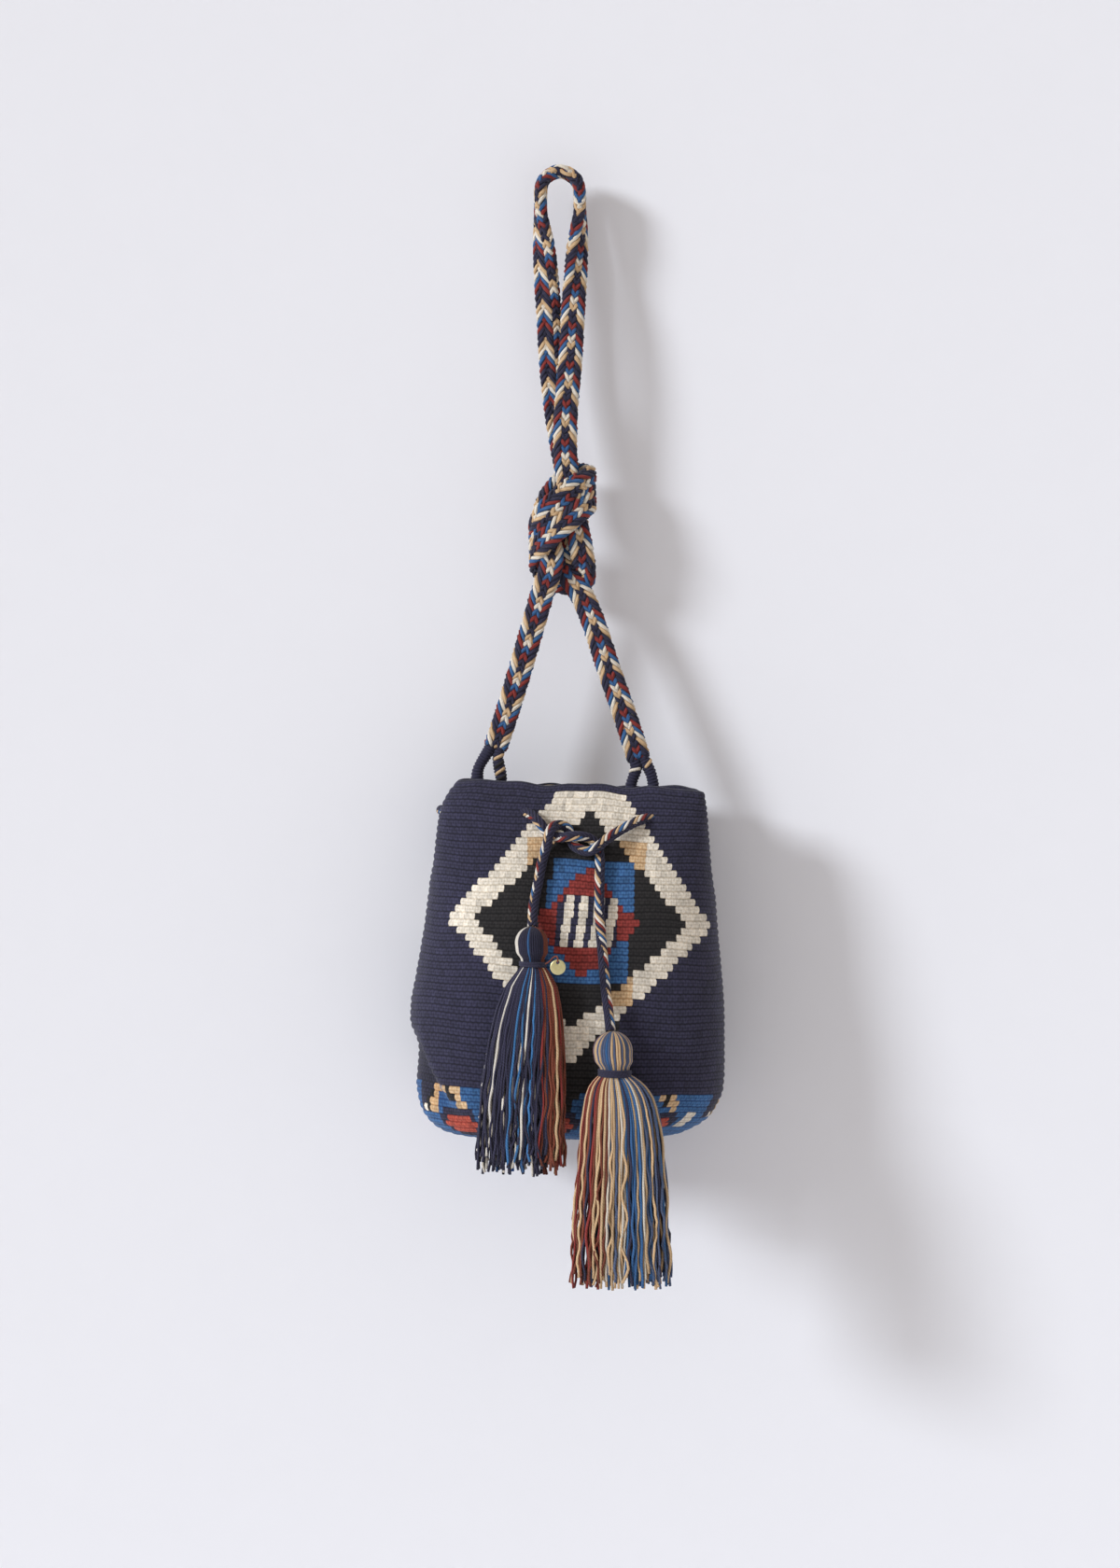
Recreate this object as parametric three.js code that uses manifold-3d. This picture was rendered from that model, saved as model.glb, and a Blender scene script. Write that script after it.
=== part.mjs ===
// Wayuu mochila: a crocheted bucket bag that hangs from its knotted shoulder strap.
// Millimetres, +Z up, front of the bag towards -Y, left and right as seen from the front.
// The origin is the inside top of the strap's loop, where a peg carries the bag.

import * as THREE from "three";
import { mergeVertices } from "three/addons/utils/BufferGeometryUtils.js";
import Module from "manifold-3d";

const wasm = await Module();
wasm.setup();

// Bag
const rimDrop = 406.5; // from the peg down to the middle of the rim
const bagHeight = 234.5; // rim to the underside of the base
const bagWidth = 208.8; // across the widest level
const bagDepth = 108.5; // front to back at the widest level
const fabricWall = 3.5; // crochet worked with doubled thread
const rowPitch = 4.5; // one crochet row
const rowsPerRidge = 2; // the solid shows every second row as a ridge
const ridgeHeight = 0.9;
const bagColumns = 44;
const rowTilt = -0.042; // the rows run slightly down to the right
const rowTiltCentre = 12.7;
const leftGussetDepth = 22.6; // how far the sides fold in at the rim
const rightGussetDepth = 39.3;
const gussetHalfWidth = 8.5;
const gussetShare = 0.3; // share of the height at which the side fold has run out
const creaseDepth = 6; // soft crease low on the left of the front
const creaseHalfAngle = THREE.MathUtils.degToRad(13);
const baseSteps = 5;
const innerSteps = 11;

const vector = ([x, y, z]) => new THREE.Vector3(x, y, z);

// A place on or near the bag, given for a bag 208.8 wide and 108.5 deep, moved as its sides move.
const givenWidth = 208.8;
const givenDepth = 108.5;
const onBag = ([x, y, z]) => [x * (bagWidth / givenWidth), y * (bagDepth / givenDepth), z];

// Share of the height below the rim, then how far the section reaches at that level:
// left and right in shares of the bag's width, front and back in shares of its depth.
const bagStations = [
  [0.0, -0.3381, 0.4598, -0.2488, 0.2396],
  [0.083, -0.3860, 0.4722, -0.3272, 0.3041],
  [0.241, -0.4080, 0.4895, -0.4424, 0.3779],
  [0.399, -0.4291, 0.5038, -0.5069, 0.4240],
  [0.548, -0.4574, 0.5182, -0.5392, 0.4470],
  [0.655, -0.4761, 0.5239, -0.5484, 0.4516],
  [0.825, -0.4703, 0.5220, -0.5346, 0.4424],
  [0.889, -0.4622, 0.5029, -0.5023, 0.4240],
  [0.94, -0.4334, 0.4670, -0.4470, 0.3871],
  [0.979, -0.3760, 0.3975, -0.3594, 0.3180],
  [0.996, -0.2874, 0.3161, -0.2488, 0.2304],
];

// Shoulder strap, a flattened tubular braid
const strapWidth = 14;
const strapThickness = 8.6;
const strapSides = 10;
const strapStepsPerPoint = 2;

// Yokes: the wrapped ends of the strap, looped through the side folds of the bag
const yokeDiameter = 7.4;
const yokeSides = 8;
const yokeDepth = 10.5; // from the rim down to the middle of the yoke's lowest bend
const yokeHalfWidth = 6.6;
const yokeSteps = 16;
const yokeRise = 5.5; // of the upright part of each leg above the bend
const yokePinch = 0.4; // how far the two legs press into each other at the strap's end
const yokeSeatGap = 0.7; // below the strap's end, wide enough for the slant of the leg's top

// Drawcord
const cordDiameter = 6.6;
const cordSides = 8;
const cordStepsPerPoint = 1.5;
const eyeletClearance = 0.4; // around the drawcord and the yokes where they pass the wall

// Seats between pieces that touch
const seatGap = 0.3;

// Tassels
const headSegments = 40;
const yarnFlutes = 20;
const fluteDepth = 0.06;
const endWave = 2.5;
const shoulderFullness = 1; // of the head's lower half, over a straight cone down to the neck
const bindingTurns = 3;
const bindingTurnHeight = 2;
const bindingBulge = 0.6; // from the seat inside to the middle of a turn
const bindingFacets = [-50, 0, 50]; // degrees round a turn's outer side
const leftTassel = {
  head: onBag([-18.5, -69.0, -508.7]),
  headRadius: 10.6,
  neckDrop: 13.5,
  neckRadius: 7.4,
  neckShift: 0.8,
  // drop below the neck, half width, half depth, sideways shift of the middle
  skirt: [
    [5, 10.5, 7.8, 0.4],
    [14, 15.5, 8.2, -0.4],
    [28, 20.5, 8.8, -1.8],
    [50, 24.5, 9.2, -3.2],
    [85, 27.5, 9.5, -5.0],
    [132, 29.3, 9.5, -6.8],
  ],
};
const rightTassel = {
  head: onBag([34.2, -73.2, -578.6]),
  headRadius: 12.8,
  neckDrop: 14.0,
  neckRadius: 9.4,
  neckShift: 1.3,
  skirt: [
    [5, 14.0, 10.0, 1.8],
    [12, 22.0, 11.2, 3.4],
    [30, 25.5, 11.8, 5.0],
    [60, 28.5, 12.0, 5.6],
    [95, 31.0, 12.0, 5.4],
    [138, 33.0, 12.0, 5.3],
  ],
};

// Charm: a small plain metal disc on a thread
const charmRadius = 5;
const charmThickness = 1;
const charmHoleRadius = 1;
const charmHoleEdge = 0.9; // metal left between the hole and the disc's edge
const charmReach = [16.3, -13.6, 1.4]; // from the middle of the left neck to the hole
const threadRadius = 0.5;
const threadLoopRadius = 2.1;

const looks = {
  navy: { color: 0x2d2b45, roughness: 0.95 },
  braid: { color: 0x4a3f45, roughness: 0.95 },
  rust: { color: 0x8a3b22, roughness: 0.95 },
  brass: { color: 0xc9bd70, roughness: 0.35, metalness: 0.9 },
};

const group = new THREE.Group();

function addPiece(name, geometry, look) {
  const material = new THREE.MeshStandardMaterial({ metalness: 0, ...look });
  const mesh = new THREE.Mesh(geometry, material);
  mesh.name = name;
  group.add(mesh);
}

function smoothStep(low, high, value) {
  return THREE.MathUtils.smoothstep(value, low, high);
}

// Joins doubled vertices, leaves out faces without area and turns the faces outwards.
function closedSolid(geometry) {
  const bare = geometry.clone();
  bare.deleteAttribute("normal");
  bare.deleteAttribute("uv");
  const merged = mergeVertices(bare, 1e-4);
  const at = merged.getAttribute("position");
  const index = merged.getIndex().array;
  const corners = [0, 1, 2].map(() => new THREE.Vector3());
  const faces = [];
  let volume = 0;
  for (let i = 0; i < index.length; i += 3) {
    const [a, b, c] = index.slice(i, i + 3);
    if (a === b || b === c || c === a) continue;
    corners[0].fromBufferAttribute(at, a);
    corners[1].fromBufferAttribute(at, b);
    corners[2].fromBufferAttribute(at, c);
    volume += corners[0].dot(corners[1].cross(corners[2])) / 6;
    faces.push([a, b, c]);
  }
  const turned = volume < 0 ? faces.map(([a, b, c]) => [a, c, b]) : faces;
  merged.setIndex(turned.flat());
  return merged;
}

function toManifold(geometry) {
  const solid = closedSolid(geometry);
  const mesh = new wasm.Mesh({
    numProp: 3,
    vertProperties: new Float32Array(solid.getAttribute("position").array),
    triVerts: new Uint32Array(solid.getIndex().array),
  });
  mesh.merge();
  return new wasm.Manifold(mesh);
}

function fromManifold(solid) {
  const mesh = solid.getMesh();
  const geometry = new THREE.BufferGeometry();
  geometry.setAttribute("position", new THREE.BufferAttribute(mesh.vertProperties, mesh.numProp));
  geometry.setIndex(new THREE.BufferAttribute(mesh.triVerts, 1));
  return geometry;
}

// Joins solids into one body; where faces lie on each other a splinter without volume may come off.
function joined(geometries) {
  const solids = geometries.map(toManifold);
  const whole = solids.reduce((sum, next) => sum.add(next));
  return whole.decompose().reduce((big, next) => (next.volume() > big.volume() ? next : big));
}

// Catmull-Rom value between the stations of a table, column by column.
function stationValue(table, column, place) {
  const last = table.length - 1;
  const before = Math.min(Math.floor(place), last - 1);
  const f = place - before;
  const value = (k) => table[THREE.MathUtils.clamp(k, 0, last)][column];
  const [a, b, c, d] = [value(before - 1), value(before), value(before + 1), value(before + 2)];
  const linear = (c - a) * f;
  const square = (2 * a - 5 * b + 4 * c - d) * f * f;
  const cube = (3 * b - a - 3 * c + d) * f * f * f;
  return 0.5 * (2 * b + linear + square + cube);
}

const lastStation = bagStations.length - 1;

// A point of the bag's outer surface: a squared ellipse with its sides folded in near the rim.
// The angle runs from the right over the back; place counts stations from the rim,
// and beyond the last one the section closes on the middle of the base.
function bagPoint(angle, place) {
  const level = Math.min(place, lastStation);
  const closing = THREE.MathUtils.clamp(lastStation + 1 - place, 0, 1);
  const at = (column) => stationValue(bagStations, column, level);
  const [upper, left, right] = [at(0), bagWidth * at(1), bagWidth * at(2)];
  const [front, back] = [bagDepth * at(3), bagDepth * at(4)];
  const share = upper + (1 - upper) * (1 - closing);
  const bluntness = 0.45 + 0.383 * smoothStep(0, 0.4, share);
  const across = Math.sign(Math.cos(angle)) * Math.abs(Math.cos(angle)) ** bluntness;
  const along = Math.sign(Math.sin(angle)) * Math.abs(Math.sin(angle)) ** bluntness;
  const inY = along * ((back - front) / 2) * closing;
  const gusset = Math.cos(angle) > 0 ? rightGussetDepth : leftGussetDepth;
  const fold = gusset * (1 - smoothStep(0, gussetShare, share)) * Math.exp(-((inY / gussetHalfWidth) ** 2));
  const crease = creaseDepth * creaseShare(angle, share);
  const reach = ((right - left) / 2) * closing - crease;
  const x = (left + right) / 2 + across * reach - Math.sign(Math.cos(angle)) * fold;
  const y = (back + front) / 2 + inY - Math.sign(inY) * crease * 0.6 * Math.abs(along);
  const tilt = rowTilt * (x - rowTiltCentre) * (1 - smoothStep(0.85, 1, share));
  return new THREE.Vector3(x, y, -rimDrop - share * bagHeight + tilt);
}

// The crease runs from the left edge down towards the front and dies out at both ends.
function creaseShare(angle, share) {
  const turn = THREE.MathUtils.degToRad(192 + 70 * smoothStep(0.7, 1.0, share));
  const full = ((angle % (2 * Math.PI)) + 2 * Math.PI) % (2 * Math.PI);
  const near = Math.exp(-(((full - turn) / creaseHalfAngle) ** 2));
  return near * smoothStep(0.68, 0.78, share) * (1 - smoothStep(0.88, 0.95, share));
}

function bagNormal(angle, place) {
  const step = 0.004;
  const around = bagPoint(angle + step, place).sub(bagPoint(angle - step, place));
  const down = bagPoint(angle, place + step).sub(bagPoint(angle, place - step));
  return down.cross(around).normalize();
}

// Angles that part the section just below the rim into even lengths, from the front round by the right.
function evenAngles(count) {
  const samples = 720;
  const sectionPlace = 0.8;
  const lengths = [0];
  const angleAt = (k) => -Math.PI / 2 + (k / samples) * 2 * Math.PI;
  for (let k = 1; k <= samples; k += 1) {
    const step = bagPoint(angleAt(k), sectionPlace).distanceTo(bagPoint(angleAt(k - 1), sectionPlace));
    lengths.push(lengths[k - 1] + step);
  }
  const angles = [];
  let k = 0;
  for (let column = 0; column < count; column += 1) {
    const target = (column / count) * lengths[samples];
    while (lengths[k + 1] < target) k += 1;
    const part = (target - lengths[k]) / (lengths[k + 1] - lengths[k]);
    angles.push(angleAt(k + part));
  }
  return angles;
}

// Places of the ridges' edges and middles, evenly spaced down the front of the bag.
function ridgePlaces() {
  const samples = 600;
  const wallEnd = lastStation - 0.4;
  const places = [0];
  const front = -Math.PI / 2;
  let run = 0;
  let next = rowPitch * rowsPerRidge / 2;
  let before = bagPoint(front, 0);
  for (let k = 1; k <= samples; k += 1) {
    const place = (k / samples) * wallEnd;
    const here = bagPoint(front, place);
    run += here.distanceTo(before);
    before = here;
    if (run >= next) {
      places.push(place);
      next += rowPitch * rowsPerRidge / 2;
    }
  }
  return places;
}

// The wall is turned as a profile of unit radius, outer skin then inner skin,
// and each of its points is then carried to the bag's own section.
function bagShell() {
  const outer = ridgePlaces();
  const wallEnd = outer[outer.length - 1];
  const basePlaces = [];
  for (let k = 1; k < baseSteps; k += 1) {
    basePlaces.push(wallEnd + ((lastStation + 1 - wallEnd) * k) / baseSteps);
  }
  const skins = [];
  skins.push({ place: lastStation + 1, depth: 0, pole: true });
  for (const place of basePlaces.reverse()) skins.push({ place, depth: 0 });
  for (let k = outer.length - 1; k >= 0; k -= 1) {
    const rise = k % 2 === 1 ? ridgeHeight : 0;
    skins.push({ place: outer[k], depth: -rise });
  }
  for (let k = 0; k <= innerSteps; k += 1) {
    const place = (lastStation + 0.7) * (k / innerSteps);
    skins.push({ place, depth: fabricWall });
  }
  skins.push({ place: lastStation + 1, depth: fabricWall, pole: true });

  const profile = skins.map((skin, k) => new THREE.Vector2(skin.pole ? 0 : 1, k));
  const shell = new THREE.LatheGeometry(profile, bagColumns);
  const angles = evenAngles(bagColumns);
  const at = shell.getAttribute("position");
  for (let i = 0; i < at.count; i += 1) {
    const skin = skins[Math.round(at.getY(i))];
    const turn = Math.atan2(at.getZ(i), at.getX(i)) / (2 * Math.PI);
    const column = (Math.round(turn * bagColumns) + bagColumns) % bagColumns;
    const angle = angles[column];
    const point = skin.pole ? bagPoint(0, skin.place) : bagPoint(angle, skin.place);
    if (skin.pole) {
      point.z += skin.depth;
    } else {
      const edge = Math.min(skin.place, lastStation + 0.9);
      const place = Math.max(edge, 0.01);
      point.addScaledVector(bagNormal(angle, place), -skin.depth);
    }
    at.setXYZ(i, point.x, point.y, point.z);
  }
  return shell;
}

// A route in space whose steps follow its points, so tight turns get as many as long runs.
class Route extends THREE.CatmullRomCurve3 {
  constructor(points) {
    super(points, false, "centripetal");
  }

  getUtoTmapping(u) {
    return u;
  }
}

// One stretch of a flat band's route, from one of its steps to another, so that stretches
// that follow each other end on the same section. The wide side is given at each route point.
class BandStretch extends THREE.Curve {
  constructor(route, widths, stepsInAll, firstStep, lastStep) {
    super();
    Object.assign(this, { route, widths, stepsInAll, firstStep, lastStep });
  }

  placeOf(t) {
    const step = this.firstStep + Math.round(t * (this.lastStep - this.firstStep));
    return step / this.stepsInAll;
  }

  getPoint(t) {
    return this.route.getPoint(this.placeOf(t));
  }

  getUtoTmapping(u) {
    return u;
  }

  computeFrenetFrames(segments) {
    const frames = { tangents: [], normals: [], binormals: [] };
    const last = this.widths.length - 1;
    for (let i = 0; i <= segments; i += 1) {
      const place = this.placeOf(i / segments);
      const tangent = this.route.getTangent(place).normalize();
      const k = Math.min(Math.floor(place * last), last - 1);
      const width = this.widths[k].clone().lerp(this.widths[k + 1], place * last - k);
      width.addScaledVector(tangent, -width.dot(tangent)).normalize();
      frames.tangents.push(tangent);
      frames.normals.push(width);
      frames.binormals.push(tangent.clone().cross(width));
    }
    return frames;
  }
}

function ovalShape(width, height, sides, squareness = 1) {
  const corners = [];
  for (let k = 0; k < sides; k += 1) {
    const angle = ((k + 0.5) / sides) * 2 * Math.PI;
    const c = Math.cos(angle);
    const s = Math.sin(angle);
    const x = Math.sign(c) * Math.abs(c) ** squareness * (width / 2);
    const y = Math.sign(s) * Math.abs(s) ** squareness * (height / 2);
    corners.push(new THREE.Vector2(x, y));
  }
  return new THREE.Shape(corners);
}

function tube(route, shape, steps) {
  return new THREE.ExtrudeGeometry(shape, { extrudePath: route, steps, bevelEnabled: false });
}

// Middle line of the knot in the doubled strap, from its top to its bottom:
// middle of the pair, then from there to the run that comes from the right, then the flat side's direction.
const knotLine = [
  [[4.0, 0.0, -192.0], [0.0, -4.6, 0.0], [1.0, 0.0, 0.0]],
  [[9.0, 0.0, -222.0], [0.0, -4.5, 0.0], [1.0, 0.0, 0.0]],
  [[13.0, -1.5, -249.0], [1.5, -4.2, -2.0], [0.9, 0.2, -0.3]],
  [[14.5, 9.5, -263.0], [1.0, -1.5, -6.5], [0.3, -0.2, -0.9]],
  [[-3.0, 13.8, -261.0], [0.0, 0.0, -7.2], [0.0, 0.0, -1.0]],
  [[-16.5, 2.0, -247.0], [0.0, 0.0, -7.2], [0.0, 0.0, -1.0]],
  [[-9.0, -13.0, -234.0], [1.6, 0.0, -7.1], [0.2, 0.0, -1.0]],
  [[10.0, -13.4, -217.0], [2.2, 0.0, -6.9], [0.3, 0.0, -1.0]],
  [[20.2, -1.0, -208.0], [0.0, 0.0, -7.2], [0.0, 0.0, -1.0]],
  [[6.0, 13.6, -206.0], [0.0, 0.0, -7.2], [0.1, 0.0, -1.0]],
  [[-6.5, 3.5, -224.0], [3.5, 2.5, -2.0], [0.9, 0.3, -0.4]],
  [[-2.5, -1.5, -256.0], [3.0, 4.2, 0.0], [1.0, 0.0, 0.0]],
];
const knotRun = (side) =>
  knotLine.map(([middle, offset, width]) => ({
    at: vector(middle).addScaledVector(vector(offset), side),
    width: vector(width).multiplyScalar(side),
  }));
const stop = (at, width) => ({ at: vector(at), width: vector(width) });

// The strap from its right end up through the knot, over the peg and back down to its left end.
const flat = [1, 0, 0];
const flatBack = [-1, 0, 0];
const edgeOn = [0, 1, 0];
const rightRun = [
  stop([52.8, 0.0, -388.6], [0.94, 0, 0.33]),
  stop([45.4, 0.0, -365.5], [0.94, 0, 0.33]),
  stop([34.0, 1.0, -332.5], [0.94, 0, 0.33]),
  stop([16.2, 2.5, -282.0], [0.94, 0, 0.33]),
];
const overPeg = [
  stop([3.9, -5.0, -158.0], flat),
  stop([6.8, -4.9, -124.0], flat),
  stop([8.8, -3.4, -88.0], flat),
  stop([11.6, -0.6, -47.5], [0.75, 0.66, 0]),
  stop([13.3, 0.0, -20.0], edgeOn),
  stop([11.0, 0.0, -1.5], edgeOn),
  stop([0.0, 0.0, 4.6], edgeOn),
  stop([-11.0, 0.0, -1.5], edgeOn),
  stop([-13.0, 0.0, -20.0], edgeOn),
  stop([-10.6, 0.4, -47.5], [-0.75, 0.66, 0]),
  stop([-7.6, 3.2, -88.0], flatBack),
  stop([-5.5, 4.9, -124.0], flatBack),
  stop([-1.8, 5.0, -158.0], flatBack),
];
const leftRun = [
  stop([-13.0, -2.5, -282.0], [-0.94, 0, 0.33]),
  stop([-28.4, -1.0, -335.0], [-0.94, 0, 0.33]),
  stop([-36.8, 0.0, -362.0], [-0.94, 0, 0.33]),
  stop([-43.2, 0.0, -381.0], [-0.94, 0, 0.33]),
];
const strapStops = [...rightRun, ...knotRun(1).reverse(), ...overPeg, ...knotRun(-1), ...leftRun];

// The strap is joined from four stretches, because its turns press into each other in the knot.
function strapSolid() {
  const middleOfWrap = 6;
  const last = strapStops.length - 1;
  const firstCut = rightRun.length + knotLine.length - 1 - middleOfWrap;
  const secondCut = rightRun.length + knotLine.length + Math.floor(overPeg.length / 2);
  const thirdCut = rightRun.length + knotLine.length + overPeg.length + middleOfWrap;
  const cuts = [0, firstCut, secondCut, thirdCut, last];
  const route = new Route(strapStops.map((s) => s.at));
  const widths = strapStops.map((s) => s.width);
  const shape = ovalShape(strapWidth, strapThickness, strapSides, 0.8);
  const steps = cuts.map((cut) => cut * strapStepsPerPoint);
  const stretches = [];
  for (let k = 1; k < steps.length; k += 1) {
    const stretch = new BandStretch(route, widths, last * strapStepsPerPoint, steps[k - 1], steps[k]);
    stretches.push(tube(stretch, shape, steps[k] - steps[k - 1]));
  }
  return joined(stretches);
}

// Drawcord, from the left tassel through the half knot on the front, round through the eyelets
// in the wall and back over the half knot to the right tassel.
const leftTail = [
  [-17.2, -57.2, -484.5],
  [-14.0, -53.2, -468.5],
  [-11.6, -50.0, -455.7],
  [-8.4, -50.6, -444.5],
  [-7.0, -52.0, -437.8],
  [-4.6, -50.2, -433.8],
  [0.2, -45.0, -432.6],
  [4.8, -43.6, -434.5],
  [6.7, -45.0, -439.9],
  [8.6, -46.8, -445.2],
  [13.1, -49.6, -448.4],
  [19.2, -53.0, -449.6],
  [24.7, -54.4, -446.5],
  [32.4, -48.6, -440.5],
  [45.2, -43.4, -432.8],
];
const aroundRim = [
  [56.0, -35.0, -428.6],
  [67.5, -26.6, -428.6],
  [84.0, -19.5, -429.2],
  [93.4, -11.5, -429.5],
  [95.6, 0.0, -429.6],
  [93.4, 11.5, -429.5],
  [84.0, 17.6, -429.2],
  [66.0, 22.4, -428.6],
  [50.0, 24.6, -428.0],
  [38.0, 30.4, -427.6],
  [26.0, 36.4, -427.2],
  [8.0, 38.2, -426.4],
  [-10.0, 36.4, -425.6],
  [-21.0, 30.4, -425.2],
  [-33.0, 24.6, -424.6],
  [-52.0, 22.0, -424.0],
  [-68.5, 17.0, -423.4],
  [-76.6, 11.0, -423.0],
  [-79.6, 0.0, -423.0],
  [-76.6, -11.0, -423.0],
  [-68.0, -19.4, -423.4],
  [-50.0, -25.8, -424.0],
  [-31.0, -28.6, -424.6],
  [-20.6, -35.0, -425.0],
];
const rightTail = [
  [-13.5, -42.8, -430.8],
  [-8.0, -44.4, -437.6],
  [-1.2, -48.8, -440.5],
  [6.7, -52.2, -439.9],
  [14.1, -49.8, -439.9],
  [20.5, -47.0, -442.0],
  [24.5, -47.2, -446.9],
  [26.0, -49.4, -453.8],
  [25.8, -53.5, -469.7],
  [25.9, -57.6, -491.5],
  [27.7, -60.9, -515.1],
  [29.8, -63.6, -539.9],
  [31.6, -67.0, -554.5],
];

// Where a cord meets a tassel's round head, coming straight at its middle.
function seatOnHead(tassel, from) {
  const middle = vector(tassel.head);
  const way = vector(from).sub(middle).normalize();
  return middle.addScaledVector(way, tassel.headRadius + seatGap + 0.1);
}

function drawcordPoints() {
  return [
    seatOnHead(leftTassel, onBag(leftTail[0])),
    ...[...leftTail, ...aroundRim, ...rightTail].map(onBag).map(vector),
    seatOnHead(rightTassel, onBag(rightTail[rightTail.length - 1])),
  ];
}

function drawcordTube(diameter) {
  const points = drawcordPoints();
  const shape = ovalShape(diameter, diameter, cordSides);
  return tube(new Route(points), shape, Math.round((points.length - 1) * cordStepsPerPoint));
}

// A yoke: from the strap's end down one side of the folded wall, through it and up the other side.
function yokePoints(side) {
  const onLeft = side === "left";
  const last = strapStops.length - 1;
  const end = onLeft ? strapStops[last] : strapStops[0];
  const before = onLeft ? strapStops[last - 1] : strapStops[1];
  const down = end.at.clone().sub(before.at).normalize();
  const across = new THREE.Vector3(0, 1, 0).cross(down).normalize();
  const spread = yokeDiameter / 2 - yokePinch;
  const seat = end.at.clone().addScaledVector(down, yokeSeatGap);
  const legTop = (sign, drop) =>
    seat.clone().addScaledVector(across, sign * spread).addScaledVector(down, drop);
  const rim = bagPoint(onLeft ? Math.PI : 0, 0);
  const middle = rim.x + (onLeft ? fabricWall / 2 : -fabricWall / 2);
  const low = rim.z - yokeDepth;
  const bend = yokeHalfWidth;
  const hang = (x, z) => new THREE.Vector3(middle + x, rim.y, low + z);
  const first = Math.sign(across.x);
  return [
    legTop(-first, 0),
    legTop(-first, 4),
    hang(-bend - 0.8, bend + yokeRise),
    hang(-bend, bend),
    hang(-bend * 0.7, bend * 0.3),
    hang(0, 0),
    hang(bend * 0.7, bend * 0.3),
    hang(bend, bend),
    hang(bend + 0.4, bend + yokeRise),
    legTop(first, 4),
    legTop(first, 0),
  ];
}

function yokeTube(side, diameter) {
  const route = new Route(yokePoints(side));
  return tube(route, ovalShape(diameter, diameter, yokeSides), yokeSteps);
}

// The two legs of a yoke are one closed loop of wrapped yarn, cut flush under the strap's end.
function yokeSolid(side) {
  const points = yokePoints(side);
  const low = (points.length - 1) / 2;
  const middle = points[low];
  const leftHalf = points.slice(0, low + 1);
  const rightHalf = points.slice(low);
  const shape = ovalShape(yokeDiameter, yokeDiameter, yokeSides);
  const legs = [leftHalf, rightHalf].map((half) => tube(new Route(half), shape, yokeSteps / 2));
  const knuckle = new THREE.SphereGeometry(yokeDiameter / 2, yokeSides, yokeSides / 2);
  knuckle.rotateX(Math.PI / 2);
  knuckle.translate(middle.x, middle.y, middle.z);
  return fromManifold(joined([...legs, knuckle]));
}

function bagBody() {
  let body = toManifold(bagShell());
  body = body.subtract(toManifold(drawcordTube(cordDiameter + 2 * eyeletClearance)));
  for (const side of ["left", "right"]) {
    body = body.subtract(toManifold(yokeTube(side, yokeDiameter + 2 * eyeletClearance)));
  }
  return fromManifold(body);
}

// Yarn bundle of a tassel: a round head, a bound neck and a skirt that hangs flat and fluted.
function tasselBundle(tassel) {
  const rings = [];
  const crownSteps = 7;
  for (let k = 0; k <= crownSteps; k += 1) {
    const tip = (k / crownSteps) * (Math.PI / 2);
    const radius = tassel.headRadius * Math.sin(tip);
    rings.push({ drop: -tassel.headRadius * Math.cos(tip), wide: radius, deep: radius, shift: 0, flute: 0 });
  }
  const neck = tassel.neckRadius;
  const shoulder = (tassel.headRadius + neck) / 2 + shoulderFullness;
  const shift = tassel.neckShift;
  const bound = (bindingTurns * bindingTurnHeight) / 2 + seatGap;
  rings.push({ drop: tassel.neckDrop / 2, wide: shoulder, deep: shoulder, shift: shift / 2, flute: 0.5 });
  rings.push({ drop: tassel.neckDrop - bound, wide: neck, deep: neck, shift, flute: 0 });
  rings.push({ drop: tassel.neckDrop + bound, wide: neck, deep: neck, shift, flute: 0 });
  for (const [drop, wide, deep, side] of tassel.skirt) {
    rings.push({ drop: tassel.neckDrop + bound + drop, wide, deep, shift: shift + side, flute: 1 });
  }
  const bottom = rings[rings.length - 1];
  const profile = rings.map((ring, k) => new THREE.Vector2(k === 0 ? 0 : 1, k));
  profile.push(new THREE.Vector2(0, rings.length));
  rings.push({ ...bottom, pole: true });
  const bundle = new THREE.LatheGeometry(profile, headSegments);
  const at = bundle.getAttribute("position");
  for (let i = 0; i < at.count; i += 1) {
    const k = Math.round(at.getY(i));
    const ring = rings[k];
    const radius = Math.hypot(at.getX(i), at.getZ(i)) > 0.5 ? 1 : 0;
    const turn = Math.atan2(at.getZ(i), at.getX(i));
    const dip = 1 - fluteDepth * ring.flute * (0.5 - 0.5 * Math.cos(turn * yarnFlutes));
    const wave = k === rings.length - 2 ? endWave * Math.cos(turn * 5) * radius : 0;
    const x = tassel.head[0] + ring.shift + radius * dip * ring.wide * Math.cos(turn);
    const y = tassel.head[1] + radius * dip * ring.deep * Math.sin(turn);
    at.setXYZ(i, x, y, tassel.head[2] - ring.drop + wave);
  }
  return closedSolid(bundle);
}

// Binding of a tassel's neck: turns of thread lying close on each other, with one seat inside.
function tasselBinding(tassel) {
  const turns = [];
  const inside = tassel.neckRadius + seatGap;
  const radius = bindingTurnHeight / 2;
  const top = (bindingTurns * bindingTurnHeight) / 2;
  turns.push(new THREE.Vector2(inside, -top));
  for (let k = 0; k < bindingTurns; k += 1) {
    const middle = -top + radius + k * bindingTurnHeight;
    for (const tip of bindingFacets) {
      const angle = THREE.MathUtils.degToRad(tip);
      const reach = inside + bindingBulge + radius * Math.cos(angle);
      turns.push(new THREE.Vector2(reach, middle + radius * Math.sin(angle)));
    }
  }
  turns.push(new THREE.Vector2(inside, top));
  turns.push(new THREE.Vector2(inside, -top));
  const ring = new THREE.LatheGeometry(turns, headSegments / 2);
  ring.rotateX(Math.PI / 2);
  ring.translate(...neckMiddle(tassel).toArray());
  return closedSolid(ring);
}

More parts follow.
